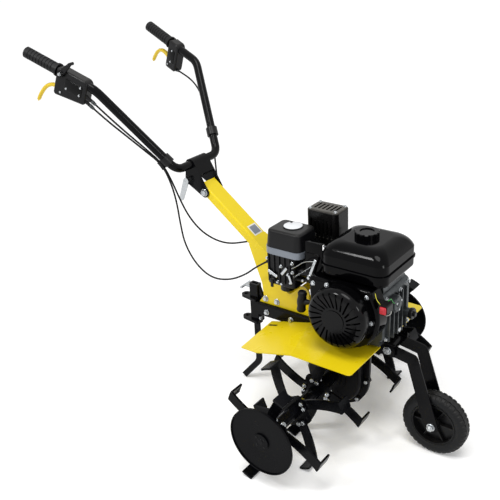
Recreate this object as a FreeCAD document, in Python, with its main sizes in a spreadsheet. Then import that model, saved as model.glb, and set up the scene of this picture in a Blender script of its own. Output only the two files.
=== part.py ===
"""Walk-behind garden tiller with a petrol engine, a centre chain case and a front wheel.

Frame: millimetres, +X forward (towards the front wheel), +Y to the machine's left, +Z up.
The origin lies on the ground, on the middle plane, half way between the front of the wheel
and the ends of the grips. Places are given from the tine axle and moved there once.

Every size is a named cell of the sheet "Sizes". A Size carries a cell's number together with
the expression that gives it, so what is worked out from several cells stays bound to them.
"""
import FreeCAD, Part
import math
import os
import Sketcher

V = FreeCAD.Vector
doc = FreeCAD.newDocument("GardenTiller")
sheet = doc.addObject("Spreadsheet::Sheet", "Sizes")

SIZES = (
    # tine rotor
    ("tine_radius", 158.0, "axle centre to the outer face of a tine's foot"),
    ("tine_foot_angle", 12.0, "angle that a foot spans about the axle, degrees"),
    ("tine_thickness", 6.0, "thickness of the tine bar"),
    ("tine_bar_width", 27.0, "width of the tine bar"),
    ("tine_root", 30.0, "axle centre to the root of a tine on its flange"),
    ("tine_foot_reach", 46.0, "sideways reach of a foot beyond its bar"),
    ("flange_side", 84.0, "side of a square flange"),
    ("flange_corner", 10.0, "round corner of a square flange"),
    ("flange_thickness", 6.0, "thickness of a square flange"),
    ("first_flange_y", 125.0, "middle plane to the inner flange"),
    ("flange_pitch", 110.0, "flange to flange along the axle"),
    ("axle_radius", 12.5, "tine axle"),
    ("end_chamfer", 1.5, "chamfered ends of round bars"),
    ("hub_radius", 19.0, "outside of the tine hub tube"),
    ("hub_inner_y", 46.0, "inner end of the hub tube"),
    ("hub_past_flange", 47.0, "hub tube beyond the last flange"),
    ("disc_radius", 100.0, "crop disc"),
    ("disc_sheet", 3.0, "sheet of the crop disc"),
    ("disc_dish", 8.0, "clamped face to the outer edge of the turned rim"),
    ("disc_flat_radius", 34.0, "flat middle of the disc"),
    ("disc_bead", 7.0, "width of the disc's turned rim"),
    ("disc_boss_radius", 24.0, "clamping boss of the disc"),
    ("disc_boss_height", 4.0, "clamping boss of the disc"),
    # frame channel
    ("rail_rear_x", -262.0, "rear end of the frame channel"),
    ("rail_front_x", 205.0, "front end of the frame channel"),
    ("rail_half_width", 42.0, "middle plane to the channel's side face"),
    ("rail_top_z", 330.0, "top face of the channel"),
    ("rail_depth", 40.0, "height of the channel"),
    ("rail_wall", 4.0, "sheet of the channel"),
    ("rail_bend", 6.0, "outer bend of the channel"),
    ("rail_notch", 50.0, "length cut out of the top plate at the front"),
    # chain case
    ("case_flange_radius", 107.0, "rim of the case about the tine axle"),
    ("case_body_radius", 90.0, "bulge of the case about the tine axle"),
    ("case_bolt_radius", 100.0, "bolts of the split flange about the tine axle"),
    ("case_corner", 14.0, "upper corners of the case"),
    ("case_flange_corner", 6.0, "upper corners of the split flange"),
    ("case_top_ear_drop", 34.0, "top plate to the highest bolt ears"),
    ("case_window_gap", 1.0, "channel clear of the case's head"),
    ("case_half_top", 112.0, "half length of the case under the channel"),
    ("case_shoulder", 20.0, "case body inside the ends of its top plate"),
    ("case_half_thickness", 31.0, "middle plane to the case's side"),
    ("case_edge", 9.0, "rounding of the case's sides"),
    ("case_top_plate", 5.0, "plate under the channel"),
    ("case_flange_half", 5.0, "half thickness of the split flange"),
    ("case_ear_radius", 9.0, "bolt ear of the split flange"),
    ("case_ear_half", 9.0, "half height of a bolt ear"),
    ("case_boss_radius", 30.0, "axle boss"),
    ("case_boss_reach", 10.0, "axle boss beyond the side"),
    ("case_seal_radius", 44.0, "raised ring round the axle boss"),
    ("case_seal_reach", 4.0, "raised ring beyond the side"),
    ("running_gap", 0.05, "radial clearance of a running fit"),
    ("input_x", -42.0, "input shaft of the chain case"),
    ("input_z", 372.0, "input shaft of the chain case"),
    ("input_head_radius", 34.0, "head of the case round the input shaft"),
    ("input_boss_radius", 20.0, "boss that reaches the belt cover"),
    ("input_neck", 20.0, "half the neck below the head"),
    ("neck_corner", 12.0, "rounding at the foot of the neck"),
    # fenders
    ("fender_top_z", 318.0, "top face of the flat part of a fender"),
    ("fender_sheet", 3.0, "sheet of a fender"),
    ("fender_outer_y", 218.0, "middle plane to the outer edge"),
    ("fender_front_x", 167.0, "front edge"),
    ("fender_crease_x", -20.0, "bend between the flat and the sloping part, at the outer edge"),
    ("fender_crease_angle", 15.0, "turn of the bend in plan, degrees"),
    ("fender_slope", 15.0, "fall of the sloping part, degrees"),
    ("fender_rear_x", -210.0, "rear edge"),
    ("fender_corner_x", 68.0, "cut at the rear corner, fore and aft"),
    ("fender_corner_y", 20.0, "cut at the rear corner, across"),
    ("fender_round", 12.0, "round front corner"),
    ("fender_slot_x", -188.0, "slot near the rear inner corner"),
    ("fender_slot_y", 66.0, "slot near the rear inner corner"),
    ("fender_slot_half", 12.0, "half length of the slot"),
    ("fender_slot_radius", 4.5, "half width of the slot"),
    # column
    ("column_width", 60.0, "width of the column tube"),
    ("column_depth", 30.0, "depth of the column tube"),
    ("column_wall", 3.0, "wall of the column"),
    ("column_corner", 5.0, "outer corner of the column tube"),
    ("column_angle", 38.0, "slope of the upper column, degrees"),
    ("column_foot_x", -283.0, "lower end of the tube's centre line"),
    ("column_foot_z", 528.0, "lower end of the tube's centre line"),
    ("column_past_pivot", 25.0, "tube beyond the pivot bolt"),
    ("base_front_x", -80.0, "front end of the base on the channel"),
    ("base_rear_x", -262.0, "rear end of the base on the channel"),
    ("base_neck_x", -249.0, "lower end of the neck's rear face"),
    ("base_neck_z", 395.0, "lower end of the neck's rear face"),
    ("base_waist_x", -245.0, "waist of the rear face"),
    ("base_waist_z", 354.0, "waist of the rear face"),
    ("base_throat_x", -220.0, "front face of the upright neck"),
    ("base_throat_z", 498.0, "upper end of the neck's front face"),
    ("base_sheet", 4.0, "sheet of the base"),
    ("base_hollow_top_z", 480.0, "top of the hollow in the neck"),
    ("base_open_z", 400.0, "foot of the neck's front wall"),
    ("base_crown_x", -98.0, "front scallop"),
    ("base_crown_z", 403.0, "front scallop"),
    ("base_crown_radius", 20.0, "front scallop"),
    ("base_dip_x", -150.0, "hollow between the scallops"),
    ("base_dip_z", 396.0, "hollow between the scallops"),
    ("base_dip_radius", 10.0, "hollow between the scallops"),
    ("base_ear_x", -175.0, "rear scallop"),
    ("base_ear_z", 402.0, "rear scallop"),
    ("base_ear_radius", 12.0, "rear scallop"),
    ("base_curl_z", 417.0, "hollow at the foot of the neck"),
    ("base_curl_radius", 12.0, "hollow at the foot of the neck"),
    ("base_hole_x", -104.0, "hole through the side plates"),
    ("base_hole_z", 374.0, "hole through the side plates"),
    ("base_hole_radius", 15.0, "hole through the side plates"),
    # handlebar clamp
    ("pivot_x", -449.0, "clamp pivot bolt"),
    ("pivot_z", 655.0, "clamp pivot bolt"),
    ("pivot_radius", 6.0, "clamp pivot bolt"),
    ("pivot_eye", 16.0, "clamp plate round the pivot bolt"),
    ("bolt_past_plate", 8.0, "bolt end beyond the outer plate"),
    ("clamp_plate", 4.0, "sheet of the clamp"),
    ("clamp_gap", 1.0, "side play between the column and a side plate"),
    ("clamp_saddle", 5.0, "wall of the saddle round the crossbar"),
    ("clamp_web", 42.0, "length of the web below the crossbar"),
    ("crossbar_x", -498.0, "centre of the handlebar's crossbar"),
    ("crossbar_z", 737.0, "centre of the handlebar's crossbar"),
    ("cam_x", -508.0, "cam bolt"),
    ("cam_z", 687.0, "cam bolt"),
    ("cam_eye", 14.0, "clamp plate round the cam bolt"),
    ("cam_bolt_radius", 5.0, "cam bolt"),
    ("cam_drum_radius", 10.0, "drum of the cam"),
    ("cam_drum_length", 10.0, "drum of the cam"),
    ("cam_handle_x", -533.0, "end of the cam's handle"),
    ("cam_handle_z", 627.0, "end of the cam's handle"),
    ("cam_handle_radius", 8.0, "half width of the handle's end"),
    ("cam_handle_sheet", 5.0, "sheet of the handle"),
    # handlebar
    ("tube_radius", 13.0, "handlebar tube"),
    ("tube_wall", 2.5, "wall of the handlebar tube"),
    ("crossbar_half", 95.0, "middle plane to the lower bend"),
    ("upper_bend_x", -666.0, "upper bend"),
    ("upper_bend_y", 222.0, "upper bend"),
    ("upper_bend_z", 989.0, "upper bend"),
    ("bar_end_x", -895.0, "end of the grip"),
    ("bar_end_y", 258.0, "end of the grip"),
    ("bar_end_z", 1085.0, "end of the grip"),
    ("lower_bend_radius", 42.0, "bend beside the clamp"),
    ("upper_bend_radius", 70.0, "bend below the grips"),
    ("grip_radius", 17.0, "rubber grip"),
    ("grip_length", 120.0, "rubber grip"),
    ("grip_cap", 4.0, "closed end of the grip beyond the tube"),
    ("grip_collar_radius", 20.0, "collar at the root of the grip"),
    ("grip_collar", 6.0, "length of the collar"),
    ("grip_groove_depth", 1.2, "depth of a groove of the grip"),
    ("grip_groove", 3.0, "width of a groove of the grip"),
    ("grip_groove_start", 18.0, "root of the grip to its first groove"),
    ("grip_groove_row", 88.0, "first to last groove of the grip"),
    # controls
    ("housing_gap", 3.0, "control housing ahead of the grip"),
    ("housing_half_width", 18.0, "half width of a control housing"),
    ("housing_round", 6.0, "edges of a control housing"),
    ("right_housing_length", 112.0, "right control housing"),
    ("left_housing_length", 50.0, "left control housing"),
    ("housing_top", 17.0, "tube centre to the top of a housing"),
    ("right_housing_front", 56.0, "tube centre to the right housing's underside, at the front"),
    ("right_housing_rear", 68.0, "tube centre to the right housing's underside, at the rear"),
    ("left_housing_drop", 80.0, "tube centre to the left housing's underside"),
    ("lever_headroom", 3.0, "slot of a housing above the lever's root"),
    ("housing_nose", 16.0, "rounding of the housing's upper front corner"),
    ("housing_heel", 9.0, "rounding of the housing's other corners"),
    ("ferrule_radius", 5.0, "cable end in a control housing"),
    ("ferrule_length", 44.0, "cable end in a control housing"),
    ("clutch_end_ahead", 80.7763, "clutch cable's upper end to the middle of its housing, along the tube"),
    ("clutch_end_aside", 3.0197, "clutch cable's upper end beside the tube's middle plane"),
    ("clutch_end_below", 38.5379, "clutch cable's upper end under the tube's centre"),
    ("throttle_end_ahead", 77.7791, "throttle cable's upper end to the middle of its housing"),
    ("throttle_end_aside", 3.753, "throttle cable's upper end beside the tube's middle plane"),
    ("throttle_end_below", 52.7674, "throttle cable's upper end under the tube's centre"),
    ("reverse_end_ahead", 25.4605, "reverse cable's upper end to the middle of its housing"),
    ("reverse_end_aside", 1.5444, "reverse cable's upper end beside the tube's middle plane"),
    ("reverse_end_below", 74.2837, "reverse cable's upper end under the tube's centre"),
    ("lever_width", 13.0, "width of a control lever's blade"),
    ("lever_root_along", 21.0, "housing middle to the lever's root, rearward"),
    ("lever_root_down", 57.0, "tube centre to the lever's root"),
    ("lever_root_radius", 7.0, "root of a control lever"),
    ("lever_knee_along", 61.0, "housing middle to the lever's knee"),
    ("lever_knee_down", 53.0, "tube centre to the lever's knee"),
    ("lever_knee_radius", 6.5, "knee of a control lever"),
    ("right_lever_along", 126.0, "housing middle to the right lever's tip"),
    ("left_lever_along", 96.0, "housing middle to the left lever's tip"),
    ("lever_tip_down", 131.0, "tube centre to the lever's tip"),
    ("lever_tip_radius", 5.0, "tip of a control lever"),
    ("lever_edge", 2.0, "rounded edges of a control lever"),
    ("lever_play", 0.3, "lever beside its housing"),
    ("thumb_root_along", 36.0, "housing middle to the throttle lever's root"),
    ("thumb_root_up", 4.0, "tube centre to the throttle lever's root"),
    ("thumb_root_radius", 9.0, "root of the throttle lever"),
    ("thumb_tip_along", 10.0, "housing middle to the throttle lever's tip"),
    ("thumb_tip_up", 46.0, "tube centre to the throttle lever's tip"),
    ("thumb_tip_radius", 4.5, "tip of the throttle lever"),
    ("thumb_sheet", 6.0, "thickness of the throttle lever"),
    ("thumb_pad", 9.0, "thumb rest of the throttle lever, across"),
    ("clip_wall", 5.0, "wall of a cable clip"),
    ("clip_cable_wall", 3.0, "wall of a clip round a cable"),
    ("clip_length", 26.0, "length of a cable clip"),
    ("clip_right_rise", 30.0, "lower bend to the right clip"),
    ("clip_left_rise", 62.0, "lower bend to the left clip"),
    ("cable_radius", 2.75, "outer sleeve of a control cable"),
    ("cable_play", 0.3, "clip round a cable"),
    ("engine_ferrule_radius", 4.5, "cable end at the engine"),
    # front wheel and fork
    ("wheel_radius", 95.0, "front tyre"),
    ("wheel_half_width", 24.0, "half the tyre's width"),
    ("bead_inset", 4.0, "rim inside the tyre's side"),
    ("wheel_x", 318.0, "wheel axle ahead of the tine axle"),
    ("tyre_shoulder", 13.0, "rounding of the tyre's tread"),
    ("tyre_height", 29.0, "seat on the rim to the tread"),
    ("rim_wall", 6.0, "wall of the rim's ring"),
    ("rim_web", 4.0, "sheet of the rim's dish"),
    ("rim_dish", 24.0, "width of a rib across the wheel"),
    ("hub_past_tyre", 3.0, "hub beyond the tyre's side"),
    ("rim_rib", 3.5, "thickness of a rib of the rim"),
    ("wheel_bolt_radius", 6.0, "wheel axle bolt"),
    ("wheel_hub_radius", 17.0, "hub of the rim"),
    ("fork_gap", 5.0, "fork plate beside the tyre"),
    ("fork_sheet", 4.0, "sheet of a fork plate"),
    ("fork_half", 18.0, "half width of a fork plate"),
    ("fork_end", 21.0, "rounded end of a fork plate at the wheel"),
    ("fork_pivot_x", 183.0, "fork pivot bolt"),
    ("fork_pivot_drop", 24.0, "channel top to the fork pivot"),
    ("fork_knee_x", 254.0, "knee of the fork"),
    ("fork_knee_z", 294.0, "knee of the fork"),
    ("fork_bolt_radius", 6.0, "fork pivot bolt"),
    ("fork_tube_radius", 14.0, "crosshead tube"),
    ("axle_past_fork", 12.0, "wheel bolt beyond a fork plate"),
    # coulter and hitch
    ("coulter_x", -300.0, "middle of the coulter bar"),
    ("coulter_half", 10.0, "half the coulter bar fore and aft"),
    ("coulter_half_thickness", 4.0, "half the coulter bar across"),
    ("coulter_top_z", 362.0, "top of the coulter bar"),
    ("coulter_bend_z", 98.0, "height where the bar turns rearward"),
    ("coulter_tip_x", -357.0, "toe of the coulter"),
    ("coulter_tip_z", 0.2, "toe of the coulter"),
    ("coulter_heel_x", -373.0, "rear corner of the coulter's end"),
    ("coulter_heel_z", 12.0, "rear corner of the coulter's end"),
    ("coulter_bend_radius", 30.0, "inside of the coulter's bend"),
    ("coulter_hole_radius", 4.5, "depth holes of the bar"),
    ("coulter_hole_z", 200.0, "lowest depth hole"),
    ("coulter_hole_row", 120.0, "lowest to highest depth hole"),
    ("coulter_play", 0.4, "play of the bar in its sleeve"),
    ("sleeve_wall", 7.0, "wall of the coulter sleeve"),
    ("sleeve_round", 4.0, "upright edges of the sleeve"),
    ("sleeve_bottom_z", 232.0, "lower end of the sleeve"),
    ("sleeve_top_z", 370.0, "upper end of the sleeve"),
    ("sleeve_plate_half", 26.0, "half width of the plate on the channel"),
    ("sleeve_plate", 6.0, "plate on the channel"),
    ("sleeve_rib_half", 5.0, "half the rib between sleeve and plate"),
    ("lug_wing_y", 15.0, "half the lug's width beside the sleeve"),
    ("lug_wing_radius", 7.0, "corner of a lug beside the sleeve"),
    ("lug_thickness", 8.0, "thickness of a hitch lug"),
    ("upper_lug_z", 319.0, "middle of the upper hitch lug"),
    ("lower_lug_z", 240.0, "middle of the lower hitch lug"),
    ("lug_hole_x", -337.0, "hitch pin"),
    ("lug_hole_radius", 7.0, "hitch pin hole"),
    ("lug_tip_radius", 15.0, "rounded end of a lug"),
    ("stop_bolt_z", 354.0, "T bolt of the coulter"),
    ("stop_bolt_radius", 5.0, "stem of the T bolt"),
    ("stop_bolt_length", 22.0, "stem of the T bolt outside the sleeve"),
    ("stop_bar_radius", 4.0, "bar of the T bolt"),
    ("stop_gap", 0.5, "T bolt off the coulter"),
    ("stop_bar_half", 24.0, "half the T bolt's bar"),
    # engine
    ("crank_x", 90.0, "crankshaft"),
    ("crank_height", 106.0, "crankshaft above the engine's base"),
    ("block_front_x", 186.0, "front of the crankcase"),
    ("block_rear_x", 15.0, "rear of the crankcase"),
    ("block_right_y", -72.0, "crankcase face behind the fan"),
    ("block_left_y", 78.0, "crankcase face on the drive side"),
    ("block_top_z", 490.0, "top of the crankcase"),
    ("block_round", 16.0, "corners of the crankcase"),
    ("block_edge", 5.0, "rounded edges of the crankcase"),
    ("saddle_sink", 2.0, "tank bracket into the crankcase"),
    ("foot_height", 14.0, "base flange of the engine"),
    ("foot_half_length", 84.0, "half length of the base flange"),
    ("cover_radius", 62.0, "crankcase cover"),
    ("cover_depth", 12.0, "crankcase cover"),
    ("saddle_rear_x", 60.0, "tank bracket on the crankcase"),
    ("saddle_front_x", 176.0, "tank bracket on the crankcase"),
    ("saddle_half_width", 60.0, "tank bracket on the crankcase"),
    ("front_boss_y", -28.0, "round boss on the front of the crankcase"),
    ("front_boss_z", 452.0, "round boss on the front of the crankcase"),
    ("front_boss_radius", 24.0, "round boss on the front of the crankcase"),
    ("front_boss_reach", 16.0, "round boss on the front of the crankcase"),
    ("front_rib", 4.0, "rib on the front of the crankcase"),
    ("front_rib_reach", 9.0, "rib on the front of the crankcase"),
    ("front_rib_row", 100.0, "first to last rib"),
    ("front_rib_y", -56.0, "first rib on the front of the crankcase"),
    ("front_rib_top", 18.0, "ribs below the top of the crankcase"),
    ("neck_y", 52.0, "oil filler neck"),
    ("neck_z", 386.0, "oil filler neck"),
    ("neck_reach", 18.0, "oil filler neck"),
    ("neck_radius", 14.0, "oil filler neck"),
    ("cylinder_slant", 25.0, "rise of the cylinder towards the rear, degrees"),
    ("barrel_near", 60.0, "crankshaft to the foot of the barrel"),
    ("barrel_far", 150.0, "crankshaft to the top of the barrel"),
    ("barrel_right_y", -40.0, "barrel"),
    ("barrel_left_y", 50.0, "barrel"),
    ("barrel_half_height", 34.0, "barrel"),
    ("barrel_corner", 10.0, "corners of the barrel"),
    ("barrel_top_flange", 2.0, "head flange beyond the barrel's top"),
    ("fin_reach", 8.0, "fin beyond the barrel"),
    ("fin_thickness", 3.0, "cooling fin"),
    ("fin_start", 88.0, "crankshaft to the first fin"),
    ("fin_row", 50.0, "first to last fin"),
    ("head_flange", 9.0, "thickness of the cylinder head's flange"),
    ("head_flange_reach", 10.0, "flange of the cylinder head beyond the barrel, up and down"),
    ("valve_cover_depth", 18.0, "valve cover"),
    ("valve_cover_inset", 4.0, "valve cover inside the barrel's sides"),
    ("valve_cover_round", 8.0, "corners of the valve cover"),
    ("valve_cover_edge", 4.0, "rounded edges of the valve cover"),
    ("valve_cover_half", 36.0, "half height of the valve cover"),
    ("shroud_radius", 106.0, "fan housing about the crankshaft"),
    ("shroud_depth", 50.0, "fan housing"),
    ("shroud_rear_x", -20.0, "rear upper corner of the fan housing"),
    ("shroud_front_x", 174.0, "front upper corner of the fan housing"),
    ("shroud_below_tank", 2.0, "fan housing under the tank"),
    ("shroud_corner", 14.0, "upper corners of the fan housing"),
    ("shroud_edge", 9.0, "rounding of the fan housing's face"),
    ("shroud_collar_radius", 96.0, "raised ring under the starter"),
    ("shroud_collar", 4.0, "raised ring under the starter"),
    ("recoil_radius", 88.0, "recoil starter cover"),
    ("recoil_depth", 50.0, "recoil starter cover"),
    ("recoil_wall", 3.0, "sheet of the starter cover"),
    ("recoil_shoulder", 20.0, "depth of the rounded shoulder"),
    ("recoil_ear", 9.0, "mounting ear of the starter cover"),
    ("recoil_ear_circle", 89.0, "mounting ears about the crankshaft"),
    ("recoil_flange", 6.0, "thickness of a mounting ear"),
    ("recoil_badge_radius", 30.0, "plain round panel on the starter cover"),
    ("recoil_badge_height", 2.0, "plain round panel on the starter cover"),
    ("slot_inner_radius", 40.0, "inner end of a vent"),
    ("slot_outer_radius", 76.0, "outer end of a vent"),
    ("slot_sweep", 14.0, "sideways sweep of a vent"),
    ("slot_half_width", 2.4, "half width of a vent"),
    ("rotor_radius", 70.0, "starter reel behind the vents"),
    ("rotor_gap", 9.0, "starter reel behind the cover's sheet"),
    ("rotor_rim", 6.0, "thickness of the starter reel"),
    ("rotor_post", 12.0, "post that carries the starter reel"),
    ("tank_bottom_z", 522.0, "underside of the tank"),
    ("tank_seam_rise", 33.0, "underside to the welded seam"),
    ("tank_shoulder_rise", 62.0, "underside to where the sides turn over"),
    ("tank_mid_rise", 83.0, "underside to the middle of the crown"),
    ("tank_mid_inset", 12.0, "middle of the crown inside the sides"),
    ("tank_rise", 97.0, "underside to the top of the tank"),
    ("tank_edge", 10.0, "rounded lower edge of the tank"),
    ("tank_front_x", 200.0, "tank"),
    ("tank_rear_x", 2.0, "tank"),
    ("tank_right_y", -104.0, "tank"),
    ("tank_left_y", 92.0, "tank"),
    ("tank_corner", 30.0, "upright corners of the tank"),
    ("tank_seam_reach", 4.0, "seam beyond the tank's sides"),
    ("tank_seam_half", 2.0, "half the seam's thickness"),
    ("tank_crown_inset", 42.0, "flat top inside the sides"),
    ("cap_x", 95.0, "fuel cap"),
    ("cap_y", -4.0, "fuel cap"),
    ("cap_radius", 34.0, "fuel cap"),
    ("cap_height", 15.0, "fuel cap"),
    ("cap_groove_radius", 3.0, "grip groove of the cap"),
    ("cap_chamfer", 2.0, "top edge of the fuel cap"),
    ("cap_recess_radius", 20.0, "recess in the fuel cap"),
    ("cap_recess", 3.0, "recess in the fuel cap"),
    ("filter_x", -127.0, "middle of the air filter"),
    ("filter_y", -42.0, "middle of the air filter"),
    ("filter_length", 126.0, "air filter fore and aft"),
    ("filter_width", 104.0, "air filter across"),
    ("cover_inset", 2.0, "filter cover inside its base ring"),
    ("filter_draft", 6.0, "draft of the filter cover's sides, degrees"),
    ("filter_corner", 24.0, "corners of the air filter"),
    ("filter_base_z", 540.0, "underside of the filter's base ring"),
    ("filter_band", 20.0, "height of the filter's base ring"),
    ("filter_height", 52.0, "height of the filter cover"),
    ("filter_edge", 9.0, "rounding of the cover's top"),
    ("filter_knob_radius", 29.0, "round panel on the filter cover"),
    ("filter_knob_height", 2.0, "round panel on the filter cover"),
    ("filter_knob_x", -125.0, "round panel on the filter cover"),
    ("filter_knob_y", -34.0, "round panel on the filter cover"),
    ("intake_rear_x", -184.0, "carburettor housing"),
    ("intake_front_x", -86.0, "carburettor housing"),
    ("intake_right_y", -90.0, "carburettor housing"),
    ("intake_left_y", -10.0, "carburettor housing"),
    ("intake_bottom_z", 442.0, "carburettor housing"),
    ("intake_round", 12.0, "edges of the carburettor housing"),
    ("intake_pipe_radius", 14.0, "intake pipe"),
    ("intake_pipe_y", -62.0, "intake pipe"),
    ("intake_pipe_z", 492.0, "intake pipe"),
    ("intake_pipe_end_x", -40.0, "intake pipe"),
    ("intake_rib", 4.0, "rib of the carburettor housing"),
    ("intake_rib_reach", 4.0, "rib of the carburettor housing"),
    ("intake_rib_row", 72.0, "first to last rib"),
    ("intake_rib_x", -176.0, "first rib of the carburettor housing"),
    ("intake_edge", 5.0, "lower edges of the carburettor housing"),
    ("intake_ferrule", 24.0, "throttle cable's end in the carburettor housing"),
    ("throttle_foot_behind", 10.0, "throttle cable's lower end behind the carburettor housing"),
    ("throttle_foot_in", 17.0, "throttle cable's lower end to the housing's right face"),
    ("throttle_foot_below", 40.0, "throttle cable's lower end under the filter's base"),
    ("bowl_x", -135.0, "float bowl"),
    ("bowl_y", -56.0, "float bowl"),
    ("bowl_radius", 21.0, "float bowl"),
    ("bowl_depth", 22.0, "float bowl"),
    ("guard_rear_x", -117.0, "muffler guard"),
    ("guard_front_x", -14.0, "muffler guard"),
    ("guard_right_y", 20.0, "muffler guard"),
    ("guard_left_y", 94.0, "muffler guard"),
    ("guard_bottom_z", 548.0, "muffler guard"),
    ("guard_top_z", 650.0, "muffler guard"),
    ("guard_sheet", 3.0, "sheet of the muffler guard"),
    ("guard_corner", 14.0, "upright corners of the muffler guard"),
    ("guard_slot_radius", 3.0, "half width of the guard's slots"),
    ("guard_slot_row", 66.0, "first to last slot"),
    ("guard_slot_x", -98.0, "first slot of the guard"),
    ("guard_slot_low_z", 572.0, "lower end of a side slot"),
    ("guard_slot_high_z", 622.0, "upper end of a side slot"),
    ("guard_slot_near_y", 40.0, "right end of a slot in the top"),
    ("guard_slot_far_y", 74.0, "left end of a slot in the top"),
    ("guard_edge", 5.0, "upper edges of the guard"),
    ("can_y", 57.0, "muffler can"),
    ("can_radius", 30.0, "muffler can"),
    ("can_edge", 12.0, "rounded ends of the muffler can"),
    ("can_z", 600.0, "muffler can"),
    ("pipe_x", -30.0, "exhaust pipe"),
    ("pipe_y", 40.0, "exhaust pipe"),
    ("pipe_radius", 10.0, "exhaust pipe"),
    ("pipe_bottom_z", 506.0, "exhaust pipe"),
    ("pipe_length", 80.0, "exhaust pipe"),
    ("drive_cover_depth", 48.0, "belt cover"),
    ("drive_cover_front", 58.0, "belt cover about the crankshaft"),
    ("drive_cover_rear", 50.0, "belt cover about the input shaft"),
    ("drive_cover_edge", 9.0, "rounding of the belt cover"),
    ("clutch_ferrule", 70.0, "clutch cable's end in the belt cover"),
    ("reverse_ferrule", 40.0, "reverse cable's end in the belt cover"),
    ("clutch_foot_behind", 86.0, "clutch cable's lower end behind the input shaft"),
    ("clutch_foot_out", 24.0, "clutch cable's lower end outside the belt cover's inner face"),
    ("clutch_foot_up", 44.0, "clutch cable's lower end above the input shaft"),
    ("reverse_foot_behind", 70.0, "reverse cable's lower end behind the input shaft"),
    ("reverse_foot_out", 34.0, "reverse cable's lower end outside the belt cover's inner face"),
    ("reverse_foot_up", 6.0, "reverse cable's lower end above the input shaft"),
    ("drive_panel_inset", 14.0, "raised panel inside the belt cover's outline"),
    ("drive_panel_height", 2.0, "raised panel of the belt cover"),
    ("switch_x", 204.0, "rear of the engine switch"),
    ("switch_z", 476.0, "underside of the engine switch"),
    ("switch_side", 24.0, "side of the engine switch"),
    ("switch_depth", 28.0, "depth of the engine switch"),
    ("switch_corner", 3.0, "corners of the engine switch"),
    ("switch_bracket", 4.0, "bracket of the engine switch"),
    ("switch_y", -110.0, "rear of the engine switch"),
    ("switch_bracket_x", 160.0, "root of the switch's bracket, inside the fan housing's side"),
)


class Size:
    """A length, its number and the expression that gives it."""

    def __init__(self, number, text):
        self.number = float(number)
        self.text = text

    def __float__(self):
        return self.number

    def __add__(self, other):
        return Size(self.number + float(other), "(%s + %s)" % (self.text, words(other)))

    def __radd__(self, other):
        return Size(float(other) + self.number, "(%s + %s)" % (words(other), self.text))

    def __sub__(self, other):
        return Size(self.number - float(other), "(%s - %s)" % (self.text, words(other)))

    def __rsub__(self, other):
        return Size(float(other) - self.number, "(%s - %s)" % (words(other), self.text))

    def __mul__(self, other):
        return Size(self.number * float(other), "(%s * %s)" % (self.text, words(other)))

    __rmul__ = __mul__

    def __truediv__(self, other):
        return Size(self.number / float(other), "(%s / %s)" % (self.text, words(other)))

    def __neg__(self):
        return Size(-self.number, "(0 - %s)" % self.text)

    def __lt__(self, other):
        return self.number < float(other)


def words(value):
    """Expression of a Size or of a plain number."""
    return value.text if isinstance(value, Size) else repr(float(value))


def cosine(angle):
    """Cosine of a Size in degrees."""
    return Size(math.cos(math.radians(float(angle))), "cos(%s * 1 deg)" % angle.text)


def sine(angle):
    """Sine of a Size in degrees."""
    return Size(math.sin(math.radians(float(angle))), "sin(%s * 1 deg)" % angle.text)


class Sheet:
    """The cells of the sheet as Sizes, each under its own name."""

    def __init__(self, rows):
        for row, (alias, number, note) in enumerate(rows, start=1):
            sheet.set("A%d" % row, alias)
            sheet.set("B%d" % row, repr(number))
            sheet.set("C%d" % row, note)
            sheet.setAlias("B%d" % row, alias)
        doc.recompute()
        for alias, _, _ in rows:
            setattr(self, alias, Size(float(sheet.get(alias)), "Sizes." + alias))


S = Sheet(SIZES)
NODES = []


def bind(thing, name, value):
    """Set a property to a size and tie it to the sheet."""
    if "." not in name:
        setattr(thing, name, float(value))
    if isinstance(value, Size):
        thing.setExpression(name, value.text)


def seat(thing, place, turn=None):
    """Put an object at a place given from the tine axle, and tie that place to the sheet."""
    x, y, z = place
    turn = turn or FreeCAD.Rotation()
    thing.Placement = FreeCAD.Placement(V(float(x - ORIGIN_X), float(y), float(z)), turn)
    for axis, value in (("x", x - ORIGIN_X), ("y", y), ("z", z)):
        if isinstance(value, Size):
            thing.setExpression("Placement.Base.%s" % axis, value.text)


def node(thing, label):
    """Register a document object as a sub-part that gets a file of its own."""
    thing.Label = label
    NODES.append(thing)
    return thing


def shaped(name, shape):
    """An object whose shape Part's own functions made, at its place from the tine axle."""
    thing = doc.addObject("Part::Feature", name)
    thing.Shape = shape
    move = FreeCAD.Placement(V(-float(ORIGIN_X), 0, 0), FreeCAD.Rotation())
    thing.Placement = move.multiply(shape.Placement)
    return thing


def edges_along(shape, direction, test=None):
    """Names of the straight edges that run along a direction and pass a test of their middle."""
    names = []
    for k, edge in enumerate(shape.Edges, start=1):
        if edge.Curve.TypeId != "Part::GeomLine":
            continue
        if abs(edge.tangentAt(edge.FirstParameter).dot(direction)) < 0.999:
            continue
        if test is None or test(edge.CenterOfMass):
            names.append("Edge%d" % k)
    return names


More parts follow.
